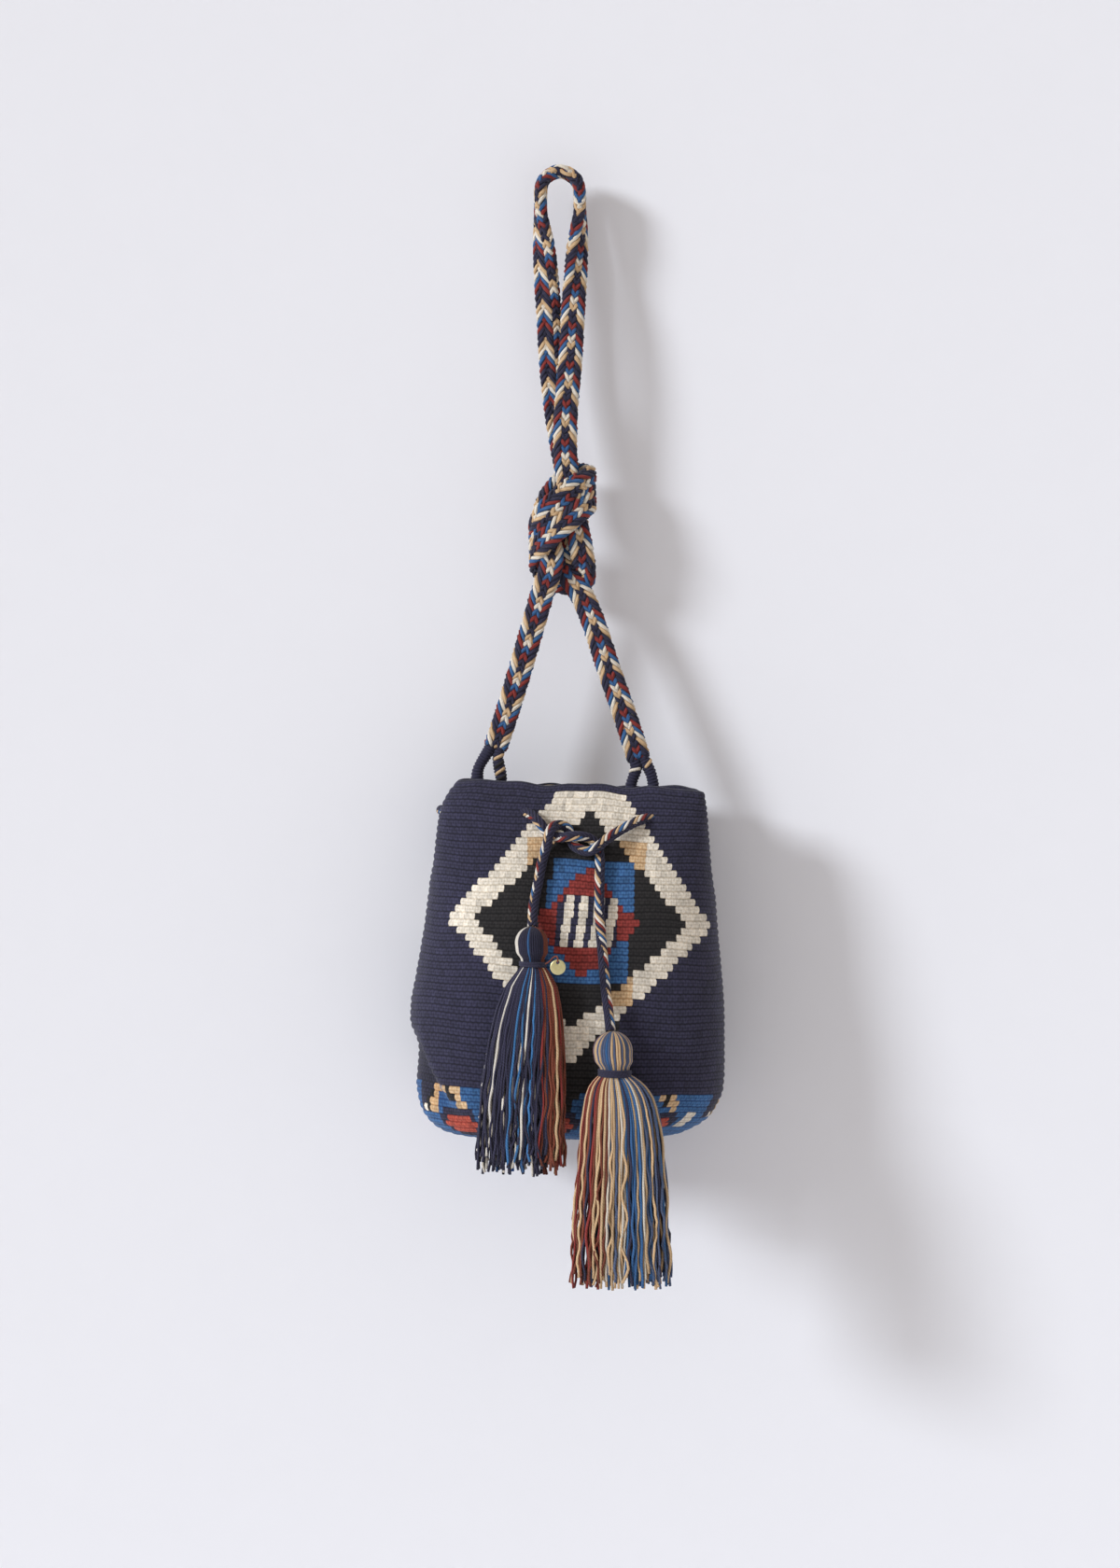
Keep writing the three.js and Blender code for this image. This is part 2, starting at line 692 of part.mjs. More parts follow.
// Middle of a tassel's bound neck.
function neckMiddle(tassel) {
  return vector(tassel.head).add(new THREE.Vector3(tassel.neckShift, 0, -tassel.neckDrop));
}

function charmHole() {
  return neckMiddle(leftTassel).add(vector(charmReach)).toArray();
}

function charmDisc() {
  const disc = new THREE.Shape();
  disc.absarc(0, 0, charmRadius, 0, 2 * Math.PI);
  const hole = new THREE.Path();
  hole.absarc(0, charmRadius - charmHoleEdge - charmHoleRadius, charmHoleRadius, 0, 2 * Math.PI);
  disc.holes.push(hole);
  const cut = { depth: charmThickness, bevelEnabled: false, curveSegments: 10 };
  const plate = new THREE.ExtrudeGeometry(disc, cut);
  plate.translate(0, charmHoleEdge + charmHoleRadius - charmRadius, -charmThickness / 2);
  plate.rotateX(Math.PI / 2);
  plate.translate(...charmHole());
  return closedSolid(plate);
}

// The charm's thread: a loop through the disc's hole and a tail to the side of the left binding.
function charmThread() {
  const [x, y, z] = charmHole();
  const loop = new THREE.TorusGeometry(threadLoopRadius, threadRadius, 6, 14);
  loop.rotateY(Math.PI / 2);
  loop.translate(x, y, z + threadLoopRadius);
  const neck = neckMiddle(leftTassel);
  const top = new THREE.Vector3(x, y, z + 2 * threadLoopRadius);
  const level = new THREE.Vector3(top.x - neck.x, top.y - neck.y, 0).normalize();
  const bindingRadius = leftTassel.neckRadius + seatGap + bindingBulge + bindingTurnHeight / 2;
  const seat = neck.clone().addScaledVector(level, bindingRadius + seatGap + 0.2);
  const bow = seat.clone().lerp(top, 0.5);
  bow.z += 0.4;
  const tail = tube(new Route([seat, bow, top]), ovalShape(2 * threadRadius, 2 * threadRadius, 6), 6);
  return fromManifold(joined([loop, tail]));
}

addPiece("bag_body", bagBody(), looks.navy);
addPiece("shoulder_strap", fromManifold(strapSolid()), looks.braid);
addPiece("left_strap_yoke", yokeSolid("left"), looks.navy);
addPiece("right_strap_yoke", yokeSolid("right"), looks.navy);
addPiece("drawcord", closedSolid(drawcordTube(cordDiameter)), looks.braid);
addPiece("left_tassel", tasselBundle(leftTassel), looks.navy);
addPiece("left_tassel_binding", tasselBinding(leftTassel), looks.navy);
addPiece("right_tassel", tasselBundle(rightTassel), looks.rust);
addPiece("right_tassel_binding", tasselBinding(rightTassel), looks.navy);
addPiece("charm_thread", charmThread(), looks.rust);
addPiece("charm_disc", charmDisc(), looks.brass);

export default group;
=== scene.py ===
"""A wayuu mochila hanging from its knotted strap: crochet, braids and yarn tassels round the CAD frame."""

import math

import bpy
import numpy as np
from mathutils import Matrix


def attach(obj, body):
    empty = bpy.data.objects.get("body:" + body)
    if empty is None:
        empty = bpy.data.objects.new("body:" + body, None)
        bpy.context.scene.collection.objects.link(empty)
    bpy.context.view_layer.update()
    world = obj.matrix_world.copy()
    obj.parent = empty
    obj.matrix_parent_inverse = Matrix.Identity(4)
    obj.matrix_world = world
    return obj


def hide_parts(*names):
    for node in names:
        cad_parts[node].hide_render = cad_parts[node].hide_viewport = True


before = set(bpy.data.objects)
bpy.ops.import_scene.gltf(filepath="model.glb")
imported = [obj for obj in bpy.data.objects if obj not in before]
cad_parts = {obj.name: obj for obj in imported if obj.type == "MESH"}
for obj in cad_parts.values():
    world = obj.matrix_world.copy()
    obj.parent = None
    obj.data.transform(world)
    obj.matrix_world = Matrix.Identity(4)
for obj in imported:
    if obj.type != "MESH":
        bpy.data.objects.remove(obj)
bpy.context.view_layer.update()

MM = 0.001
TAU = 2 * math.pi
random = np.random.default_rng(11)

# Colours of the yarns, sRGB 0 to 255
YARNS = {
    "navy": (46, 44, 66),
    "black": (34, 31, 31),
    "cream": (222, 212, 196),
    "tan": (204, 173, 134),
    "blue": (56, 98, 144),
    "sky": (64, 118, 168),
    "slate": (84, 96, 124),
    "red": (136, 50, 44),
    "orange": (182, 80, 62),
    "rust": (122, 62, 42),
    "white": (224, 216, 204),
}


def linear(yarn):
    """The yarn's colour as scene-linear light: the sRGB curve taken off."""
    c = np.array(YARNS[yarn]) / 255
    return np.where(c <= 0.04045, c / 12.92, ((c + 0.055) / 1.055) ** 2.4)


# Camera
camera = bpy.data.objects.new("camera", bpy.data.cameras.new("camera"))
bpy.context.scene.collection.objects.link(camera)
EYE_DISTANCE = 2.3
EYE_HEIGHT = -0.4056
SHOWN_HEIGHT = 1.05  # of the plane through the strap, from the picture's top to its bottom
camera.location = (0, -EYE_DISTANCE, EYE_HEIGHT)
camera.rotation_euler = (math.pi / 2, 0, 0)
camera.data.sensor_width = 36
camera.data.lens = 36 * EYE_DISTANCE / SHOWN_HEIGHT
camera.data.clip_end = 20
bpy.context.scene.camera = camera


# Meshes
def make_piece(name, points, faces, material, corners=None, colour=None, marks=None, caps=()):
    """A mesh of points in millimetres. Corners hold each quad corner's UV, colour is per point or per
    quad, marks are named values per point, and caps are further polygons that close the ends."""
    mesh = bpy.data.meshes.new(name)
    mesh.from_pydata((points * MM).tolist(), [], faces.tolist() + [list(cap) for cap in caps])
    mesh.polygons.foreach_set("use_smooth", np.ones(len(mesh.polygons), bool))
    loops = len(mesh.loops)
    if corners is not None:
        uv = np.zeros((loops, 2))
        uv[: faces.size] = corners.reshape(-1, 2)
        mesh.uv_layers.new(name="yarn_run").data.foreach_set("uv", uv.ravel())
    if colour is not None:
        rgba = np.ones((loops, 4))
        if len(colour) == len(points):
            places = np.zeros(loops, np.int64)
            mesh.loops.foreach_get("vertex_index", places)
            rgba[:, :3] = colour[places]
        else:
            rgba[: faces.size, :3] = np.repeat(colour, 4, axis=0)
            rgba[faces.size :, :3] = colour[-1]
        mesh.color_attributes.new("yarn", "FLOAT_COLOR", "CORNER").data.foreach_set("color", rgba.ravel())
    for key, value in (marks or {}).items():
        mesh.attributes.new(key, "FLOAT", "POINT").data.foreach_set("value", value.astype(np.float32))
    mesh.materials.append(material)
    mesh.update()
    piece = bpy.data.objects.new(name, mesh)
    bpy.context.scene.collection.objects.link(piece)
    return piece


def grid(rows, columns):
    """Quads of a grid whose last column joins its first, and each corner's row and unwrapped column."""
    i, j = np.meshgrid(np.arange(rows - 1), np.arange(columns), indexing="ij")
    row = np.stack([i, i, i + 1, i + 1], -1).reshape(-1, 4)
    column = np.stack([j, j + 1, j + 1, j], -1).reshape(-1, 4)
    return row * columns + column % columns, row, column


def make_bundle(name, tubes, colours, material, step, depth=0.0):
    """Closed tubes of yarn, an array of [yarn, station, side, xyz], with UV running once round each yarn
    and along it in millimetres, and how deep each place lies between its neighbours as the gap mark, the
    painted shade that darkens the yarn's colour there."""
    count, stations, sides = tubes.shape[:3]
    quads, row, column = grid(stations, sides)
    shift = np.arange(count)[:, None, None] * stations * sides
    faces = (quads[None] + shift).reshape(-1, 4)
    step = np.broadcast_to(np.asarray(step, float), (count,))[:, None, None]
    along = row[None] * step
    around = np.broadcast_to(column[None] / sides, along.shape)
    corners = np.stack([around, along], -1)
    first = np.arange(sides)[::-1]
    last = np.arange(sides) + (stations - 1) * sides
    caps = [end + k * stations * sides for k in range(count) for end in (first, last)]
    spread = np.repeat(colours, stations * sides, axis=0)
    marks = {"gap_shade": np.broadcast_to(depth, (count, stations, sides)).ravel()}
    return make_piece(name, tubes.reshape(-1, 3), faces, material, corners, spread, marks, caps)


def fit(piece, body, node):
    """Says which body a piece rides on, which CAD node it takes the place of."""
    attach(piece, body)
    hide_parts(node)


def unit(v):
    """The vectors at length 1."""
    return v / np.linalg.norm(v, axis=-1, keepdims=True)


def square_to(v, along):
    """The vectors with their share along the others taken off, at length 1."""
    return unit(v - along * np.sum(v * along, axis=-1, keepdims=True))


def smooth_step(low, high, x):
    """0 below low, 1 above high, and three times the square less twice the cube of the way between."""
    q = np.clip((x - low) / (high - low), 0, 1)
    return q * q * (3 - 2 * q)


def length_along(line):
    """How far along the line each of its points lies."""
    return np.concatenate([[0], np.cumsum(np.linalg.norm(np.diff(line, axis=0), axis=1))])


def read_off(at, places, table):
    """The table's columns at the given places, straight between its rows."""
    return np.stack([np.interp(at, places, column) for column in table.T], -1)


def smooth_route(points, per_point=12):
    """Centripetal Catmull-Rom line through the points, as the CAD's routes run, and its places on them."""
    p = np.asarray(points, float)
    n = len(p)
    p = np.vstack([2 * p[0] - p[1], p, 2 * p[-1] - p[-2]])
    place = np.linspace(0, n - 1, (n - 1) * per_point + 1)
    k = np.minimum(place.astype(int), n - 2)
    f = (place - k)[:, None]
    x0, x1, x2, x3 = (p[k + i] for i in range(4))
    d0, d1, d2 = (
        np.linalg.norm(b - a, axis=1, keepdims=True) ** 0.5 for a, b in ((x0, x1), (x1, x2), (x2, x3))
    )
    t1 = ((x1 - x0) / d0 - (x2 - x0) / (d0 + d1) + (x2 - x1) / d1) * d1
    t2 = ((x2 - x1) / d1 - (x3 - x1) / (d1 + d2) + (x3 - x2) / d2) * d1
    line = x1 + t1 * f + (3 * (x2 - x1) - 2 * t1 - t2) * f**2 + (2 * (x1 - x2) + t1 + t2) * f**3
    return line, place


def evenly(line, step, *carried):
    """The line at even distances near the step, with what it carries taken at the same places."""
    run = length_along(line)
    at = np.linspace(0, run[-1], int(round(run[-1] / step)) + 1)
    return at, *(read_off(at, run, values) for values in (line, *carried))


def carried_side(line, start):
    """A side direction carried along the line without twist, station by station."""
    along = unit(np.gradient(line, axis=0))
    side = [square_to(start, along[0])]
    for ahead in along[1:]:
        side.append(square_to(side[-1], ahead))
    return np.array(side)


def section_points(half_wide, half_thick, bluntness):
    """A squared oval by its own length: place, its outward normal, each over a turn counted 0 to 1."""
    angle = np.linspace(0, TAU, 721)
    c, s = np.cos(angle), np.sin(angle)
    oval = np.stack(
        [half_wide * np.sign(c) * np.abs(c) ** bluntness, half_thick * np.sign(s) * np.abs(s) ** bluntness], 1
    )
    turn = length_along(oval)
    turn = turn / turn[-1]

    def at(q):
        """The oval's point at that share of its length."""
        return read_off(np.mod(q, 1), turn, oval)

    def outward(q):
        """Square to the chord between the points just before and after."""
        way = at(q + 0.01) - at(q - 0.01)
        return unit(np.stack([way[..., 1], -way[..., 0]], -1))

    return at, outward


def lies_over(turn, short):
    """Which family of yarns lies over at a turn of the section, 1 for the first and -1 for the second. With
    no short columns the section has two, the cosine of its turn. Else the sine of twice the turn gives four
    long columns, and it is swapped near the middle of each face, where two short columns cross. Short holds
    their widths on the wide and on the narrow faces."""
    if short is None:
        return np.tanh(4.0 * np.cos(TAU * turn))
    from_middle = np.abs(np.mod(turn + 0.125, 0.25) - 0.125)
    width = np.where(np.cos(2 * TAU * turn) < 0, short[0], short[1])
    return np.tanh(4.0 * np.sin(2 * TAU * turn)) * np.tanh(3.0 * (from_middle / width - 1))


# How far round a braid its yarns stray, in turns, and the length of that wave over a turn, in millimetres
SLACK = ((0.007, 17), (0.005, 7.3))


def braid(at, line, wide, section, lay, per_family, lift, yarn, short=None, twist=0.0, sides=6):
    """A tubular braid and its gap marks, painted shade on its hidden sides. Yarn k of a family runs round the
    section by k/n turns plus or minus its way along over the lay, and it is lifted or sunk by what lies_over
    says at its turn less the braid's own twist. Yarn holds its half width and half height."""
    along = unit(np.gradient(line, axis=0))
    wide = square_to(wide, along)
    thick = np.cross(along, wide)
    place_at, outward_at = section
    hand = np.repeat([1, -1], per_family)[:, None]
    start = np.tile(np.arange(per_family) / per_family, 2)[:, None]
    turn = start + hand * at[None] / lay
    for (share, length), phase in zip(SLACK, random.uniform(0, TAU, (2, 2 * per_family, 1))):
        turn = turn + share * np.sin(at[None] / length + phase)
    over = hand * lies_over(turn, short) * lift
    turn = turn + np.broadcast_to(twist, at.shape)[None]
    out = outward_at(turn)
    flat = place_at(turn) + over[..., None] * out
    middle = line + flat[..., :1] * wide + flat[..., 1:] * thick
    out = out[..., :1] * wide + out[..., 1:] * thick
    ahead = unit(np.gradient(middle, axis=1))
    out = square_to(out, ahead)
    beside = np.cross(ahead, out)
    corner = np.arange(sides) / sides * TAU
    plump = random.uniform(0.93, 1.06, (2 * per_family, 1, 1, 1))
    ring = (
        np.cos(corner)[:, None] * yarn[0] * beside[:, :, None]
        + np.sin(corner)[:, None] * yarn[1] * out[:, :, None]
    ) * plump
    # Painted shade: the sides of each yarn that face into the braid, and the yarns that pass under, are
    # darkened
    depth = 0.85 * hidden_share(ring, out) + 0.25 * (1 - over / lift)[..., None]
    return middle[:, :, None] + ring, np.clip(depth, 0, 0.9)


def hidden_share(ring, out):
    """How far each side of a yarn turns from the open: 0 where it faces out, 1 where it faces in."""
    return 0.5 - 0.5 * np.sum(unit(ring) * out[..., None, :], axis=-1)


def round_tube(line, radius, sides, side_start=(1, 0, 0)):
    """A round tube on a line. The radius is one number, or one for every station and side."""
    side = carried_side(line, np.array(side_start, float))
    third = np.cross(unit(np.gradient(line, axis=0)), side)
    turn = np.arange(sides) / sides * TAU
    ring = np.cos(turn)[None, :, None] * side[:, None] + np.sin(turn)[None, :, None] * third[:, None]
    return line[:, None] + np.broadcast_to(radius, (len(line), sides))[..., None] * ring


# Materials
class Nodes:
    """A short way to place nodes in a tree and link their sockets. Each method after set adds the node that
    it is named for and gives the socket it puts out, and bump links its normal to the shader."""

    def __init__(self, tree):
        self.tree = tree

    def add(self, kind, *inputs, **settings):
        node = self.tree.nodes.new("ShaderNode" + kind)
        for key, value in settings.items():
            setattr(node, key, value)
        for socket, value in zip(node.inputs, inputs):
            self.set(socket, value)
        return node

    def set(self, socket, value):
        if isinstance(value, bpy.types.NodeSocket):
            self.tree.links.new(value, socket)
        elif value is not None:
            socket.default_value = value

    def math(self, operation, *inputs):
        return self.add("Math", *inputs, operation=operation).outputs[0]

    def plus(self, a, b):
        return self.math("ADD", a, b)

    def minus(self, a, b):
        return self.math("SUBTRACT", a, b)

    def times(self, a, b):
        return self.math("MULTIPLY", a, b)

    def scaled(self, colour, share):
        node = self.add("VectorMath", colour, operation="SCALE")
        self.set(node.inputs["Scale"], share)
        return node.outputs[0]

    def mixed(self, share, first, second):
        node = self.add("Mix", data_type="RGBA")
        for place, value in zip((0, 6, 7), (share, first, second)):
            self.set(node.inputs[place], value)
        return node.outputs[2]

    def noise(self, scale, detail, roughness):
        place = self.add("TexCoord").outputs["Object"]
        return self.add("TexNoise", place, None, scale, detail, roughness).outputs[0]

    def bump(self, shader, height, strength, distance):
        node = self.add("Bump")
        node.inputs["Strength"].default_value = strength
        node.inputs["Distance"].default_value = distance
        self.set(node.inputs["Height"], height)
        self.set(shader.inputs["Normal"], node.outputs[0])


def shader_group(name, inputs, outputs):
    """A node group with named sockets, and its input and output nodes."""
    tree = bpy.data.node_groups.new(name, "ShaderNodeTree")
    for label, kind, value in inputs:
        socket = tree.interface.new_socket(label, in_out="INPUT", socket_type="NodeSocket" + kind)
        if value is not None:
            socket.default_value = value
    for label, kind in outputs:
        tree.interface.new_socket(label, in_out="OUTPUT", socket_type="NodeSocket" + kind)
    return Nodes(tree), tree.nodes.new("NodeGroupInput"), tree.nodes.new("NodeGroupOutput")


def make_ply_twist():
    """Plies of a twisted yarn: slanted bands, the sine of turns round plus turns along, with painted shade in
    the gaps between them.
    """
    nodes, given, result = shader_group(
        "ply_twist",
        [("Pitch", "Float", 3.0), ("Plies", "Float", 2.0), ("Depth", "Float", 0.45)],
        [("Height", "Float"), ("Shade", "Float")],
    )
    run = nodes.add("UVMap", uv_map="yarn_run").outputs[0]
    split = nodes.add("SeparateXYZ", run)
    around = nodes.times(split.outputs[0], given.outputs["Plies"])
    along = nodes.math("DIVIDE", split.outputs[1], given.outputs["Pitch"])
    phase = nodes.times(nodes.plus(around, along), math.pi)
    height = nodes.math("ABSOLUTE", nodes.math("SINE", phase))
    nodes.set(result.inputs["Height"], height)
    gap_shade = nodes.minus(1.0, nodes.math("POWER", height, 0.5))
    nodes.set(result.inputs["Shade"], nodes.minus(1.0, nodes.times(gap_shade, given.outputs["Depth"])))
    return nodes.tree


# Scale, detail and roughness of the noise of fibres, of stitches and of the dye bath
COTTON_NOISES = ((2600.0, 3.0, 0.65), (650.0, 2.0, 0.5), (70.0, 2.0, 0.5))
LINT = (0.75, 0.72, 0.7, 1)


def make_cotton():
    """Cotton fibres: fine noise for height, and an unevenness of the dye summed from three noises. The
    fine noise to the fourth power is where pale lint lies."""
    nodes, given, result = shader_group(
        "cotton",
        [("Colour", "Color", (0.5, 0.5, 0.5, 1)), ("Unevenness", "Float", 0.18), ("Lint", "Float", 0.05)],
        [("Colour", "Color"), ("Height", "Float")],
    )
    fine, middling, slow = (nodes.noise(*noise) for noise in COTTON_NOISES)
    near = nodes.plus(nodes.times(fine, 0.3), nodes.times(middling, 0.5))
    summed = nodes.plus(near, nodes.times(slow, 0.2))
    swing = nodes.times(nodes.minus(summed, 0.5), given.outputs["Unevenness"])
    dyed = nodes.scaled(given.outputs["Colour"], nodes.plus(1.0, nodes.times(swing, 4.0)))
    lint = nodes.times(nodes.math("POWER", fine, 4.0), given.outputs["Lint"])
    nodes.set(result.inputs["Colour"], nodes.mixed(lint, dyed, LINT))
    nodes.set(result.inputs["Height"], fine)
    return nodes.tree


def make_crochet_stitch():
    """One crochet stitch seen from outside: two slanted legs that meet at its foot, a seam painted dark as
    shade where its row meets the next and a fainter painted groove along the row's middle. The distance from
    the legs' middle lines, which lie 0.40 of a stitch from its middle at the top and 0.06 at the foot, and
    the cosine of the way down the row, cubed and less its mean, give height and painted shade."""
    nodes, given, result = shader_group(
        "crochet_stitch",
        [("Depth", "Float", 0.3), ("Seam", "Float", 0.5)],
        [("Height", "Float"), ("Shade", "Float")],
    )
    split = nodes.add("SeparateXYZ", nodes.add("UVMap", uv_map="yarn_run").outputs[0])
    across = nodes.minus(nodes.math("FRACT", split.outputs[0]), 0.5)
    down = nodes.math("FRACT", split.outputs[1])
    leg = nodes.minus(0.40, nodes.times(down, 0.34))
    away = nodes.math("ABSOLUTE", nodes.minus(nodes.math("ABSOLUTE", across), leg))
    dip = nodes.math("MINIMUM", nodes.math("POWER", nodes.math("DIVIDE", away, 0.22), 2.0), 1.0)
    wave = nodes.math("COSINE", nodes.times(down, TAU))
    grooves = nodes.math("POWER", nodes.math("ABSOLUTE", wave), 3.0)
    strength = nodes.plus(0.8, nodes.times(wave, 0.2))
    seam = nodes.minus(nodes.times(grooves, strength), 0.3)
    relief = nodes.minus(nodes.minus(1.0, nodes.times(dip, 0.6)), seam)
    nodes.set(result.inputs["Height"], relief)
    leg_shade = nodes.minus(1.0, nodes.times(dip, given.outputs["Depth"]))
    seam_shade = nodes.minus(1.0, nodes.times(seam, given.outputs["Seam"]))
    nodes.set(result.inputs["Shade"], nodes.times(leg_shade, seam_shade))
    return nodes.tree


PLY_TWIST = make_ply_twist()
CROCHET_STITCH = make_crochet_stitch()
COTTON = make_cotton()


def new_material(name, roughness, sheen=0.0, metallic=0.0):
    """A material with its node helper and its Principled shader."""
    material = bpy.data.materials.new(name)
    material.use_nodes = True
    nodes = Nodes(material.node_tree)
    shader = material.node_tree.nodes["Principled BSDF"]
    shader.inputs["Roughness"].default_value = roughness
    shader.inputs["Metallic"].default_value = metallic
    shader.inputs["Specular IOR Level"].default_value = 0.25
    shader.inputs["Sheen Weight"].default_value = sheen
    shader.inputs["Sheen Roughness"].default_value = 0.6
    return material, nodes, shader


def place_group(nodes, tree, **values):
    """A group placed in a material, with its own values."""
    node = nodes.tree.nodes.new("ShaderNodeGroup")
    node.node_tree = tree
    for label, value in values.items():
        nodes.set(node.inputs[label], value)
    return node


SCATTER = 0.9  # share of the light lost in a gap that comes back after meeting the yarn again
RELIEF = 0.0006  # height of the plies and stitches in the bump, in metres


def yarn_material(name, relief, bump=0.25, unevenness=0.18, lint=0.05, **relief_values):
    """Dyed cotton yarn with a fibre bump. The piece's own colour is scaled by painted shade, the relief's
    shade and the gap mark between neighbouring yarns, and what they take off comes back in part times the
    colour itself, as light that has met the yarn once more, so that pale yarns stay soft in their gaps."""
    material, nodes, shader = new_material(name, 0.9, sheen=0.08)
    dye = nodes.add("Attribute", attribute_name="yarn").outputs["Color"]
    cotton = place_group(nodes, COTTON, Colour=dye, Unevenness=unevenness, Lint=lint)
    twist = place_group(nodes, relief, **relief_values)
    # Painted shade: the gap mark and the relief's shade darken the yarn's colour
    open_share = nodes.minus(1.0, nodes.add("Attribute", attribute_name="gap_shade").outputs["Fac"])
    shade = nodes.times(twist.outputs["Shade"], open_share)
    lost = nodes.times(nodes.minus(1.0, shade), SCATTER)
    yarn_colour = cotton.outputs["Colour"]
    squared = nodes.add("VectorMath", yarn_colour, yarn_colour, operation="MULTIPLY").outputs[0]
    once, again = nodes.scaled(yarn_colour, shade), nodes.scaled(squared, lost)
    both = nodes.add("VectorMath", once, again, operation="ADD")
    nodes.set(shader.inputs["Base Color"], both.outputs[0])
    fibres = nodes.times(cotton.outputs["Height"], 0.35)
    nodes.bump(shader, nodes.plus(nodes.times(twist.outputs["Height"], 0.8), fibres), bump, RELIEF)
    return material


braid_yarn = yarn_material("braid_yarn", PLY_TWIST, bump=0.4, Pitch=9.0, Plies=6.0, Depth=0.25)
cord_yarn = yarn_material("cord_yarn", PLY_TWIST, Pitch=6.0, Plies=4.0, Depth=0.2)
tassel_yarn = yarn_material("tassel_yarn", PLY_TWIST, bump=0.5, Pitch=1.7, Plies=2.0, Depth=0.5)
wrap_yarn = yarn_material("wrap_yarn", PLY_TWIST, Pitch=1.7, Plies=2.0, Depth=0.4)
crochet_yarn = yarn_material(
    "crochet_yarn", CROCHET_STITCH, bump=0.4, unevenness=0.36, lint=0.08, Depth=0.38, Seam=0.85
)

# Shoulder strap
FLAT = (1, 0, 0)
EDGE_ON = (0, 1, 0)
RIGHT_TILT = (0.94, 0, 0.33)
LEFT_TILT = (-0.94, 0, 0.33)

# The doubled strap's middle in the knot, from its top down, the way to the right run, the flat side
KNOT_LINE = (
    ((4, 0, -192), (0, -4.6, 0), (1, 0, 0)),
    ((9, 0, -222), (0, -4.5, 0), (1, 0, 0)),
    ((13, -1.5, -249), (1.5, -4.2, -2), (0.9, 0.2, -0.3)),
    ((14.5, 9.5, -263), (1, -1.5, -6.5), (0.3, -0.2, -0.9)),
    ((-3, 13.8, -261), (0, 0, -7.2), (0, 0, -1)),
    ((-16.5, 2, -247), (0, 0, -7.2), (0, 0, -1)),
    ((-9, -13, -234), (1.6, 0, -7.1), (0.2, 0, -1)),
    ((10, -13.4, -217), (2.2, 0, -6.9), (0.3, 0, -1)),
    ((20.2, -1, -208), (0, 0, -7.2), (0, 0, -1)),
    ((6, 13.6, -206), (0, 0, -7.2), (0.1, 0, -1)),
    ((-6.5, 3.5, -224), (3.5, 2.5, -2), (0.9, 0.3, -0.4)),
    ((-2.5, -1.5, -256), (3, 4.2, 0), (1, 0, 0)),
)
RIGHT_RUN = (
    ((52.8, 0, -388.6), RIGHT_TILT),
    ((45.4, 0, -365.5), RIGHT_TILT),
    ((34, 1, -332.5), RIGHT_TILT),
    ((16.2, 2.5, -282), RIGHT_TILT),
)
OVER_TOP = (
    ((3.9, -5, -158), FLAT),
    ((6.8, -4.9, -124), FLAT),
    ((8.8, -3.4, -88), FLAT),
    ((11.6, -0.6, -47.5), (0.75, 0.66, 0)),
    ((13.3, 0, -20), EDGE_ON),
    ((11, 0, -1.5), EDGE_ON),
    ((0, 0, 4.6), EDGE_ON),
    ((-11, 0, -1.5), EDGE_ON),
    ((-13, 0, -20), EDGE_ON),
    ((-10.6, 0.4, -47.5), (-0.75, 0.66, 0)),
    ((-7.6, 3.2, -88), (-1, 0, 0)),
    ((-5.5, 4.9, -124), (-1, 0, 0)),
    ((-1.8, 5, -158), (-1, 0, 0)),
)
LEFT_RUN = (
    ((-13, -2.5, -282), LEFT_TILT),
    ((-28.4, -1, -335), LEFT_TILT),
    ((-36.8, 0, -362), LEFT_TILT),
    ((-43.2, 0, -381), LEFT_TILT),
)


def knot_run(side):
    """One of the knot's two runs: the middle moved to its side, and the flat side turned with the route."""
    return [(np.array(m) + side * np.array(o), side * np.array(w)) for m, o, w in KNOT_LINE]


strap_stops = [*RIGHT_RUN, *knot_run(1)[::-1], *OVER_TOP, *knot_run(-1), *LEFT_RUN]
strap_route, strap_place = smooth_route([at for at, _ in strap_stops])
stop_wide = np.array([wide for _, wide in strap_stops], float)
strap_wide = read_off(strap_place, np.arange(len(stop_wide)), stop_wide)
STRAP_STEP = 1.8
strap_run, strap_line, strap_wide, strap_stop = evenly(
    strap_route, STRAP_STEP, strap_wide, strap_place[:, None]
)
STRAP_LAY = 52
# The two families mirror each other, and each repeats these six yarns
STRAP_YARNS = ("navy", "navy", "red", "blue", "cream", "tan")
STRAP_MIRRORED = ("navy", "tan", "cream", "blue", "red", "navy")
# On its way over the loop's top the braid turns a third round itself, and turns back in the knot
LOOP_TURN = 0.35
loop_turn = LOOP_TURN * (smooth_step(21.2, 22.8, strap_stop[:, 0]) - smooth_step(31, 38, strap_stop[:, 0]))
strap_tubes, strap_gap_shade = braid(
    strap_run,
    strap_line,
    strap_wide,
    section_points(6.9, 2.5, 0.8),
    STRAP_LAY,
    per_family=12,
    lift=0.95,
    yarn=(1.42, 1.24),
    short=(0.080, 0.03),
    twist=loop_turn,
)
strap_colours = np.array([linear(yarn) for yarn in STRAP_YARNS * 2 + STRAP_MIRRORED * 2])
strap_step = strap_run[1] - strap_run[0]
shoulder_strap = make_bundle("strap_braid", strap_tubes, strap_colours, braid_yarn, strap_step, strap_gap_shade)
fit(shoulder_strap, "bag", "shoulder_strap")

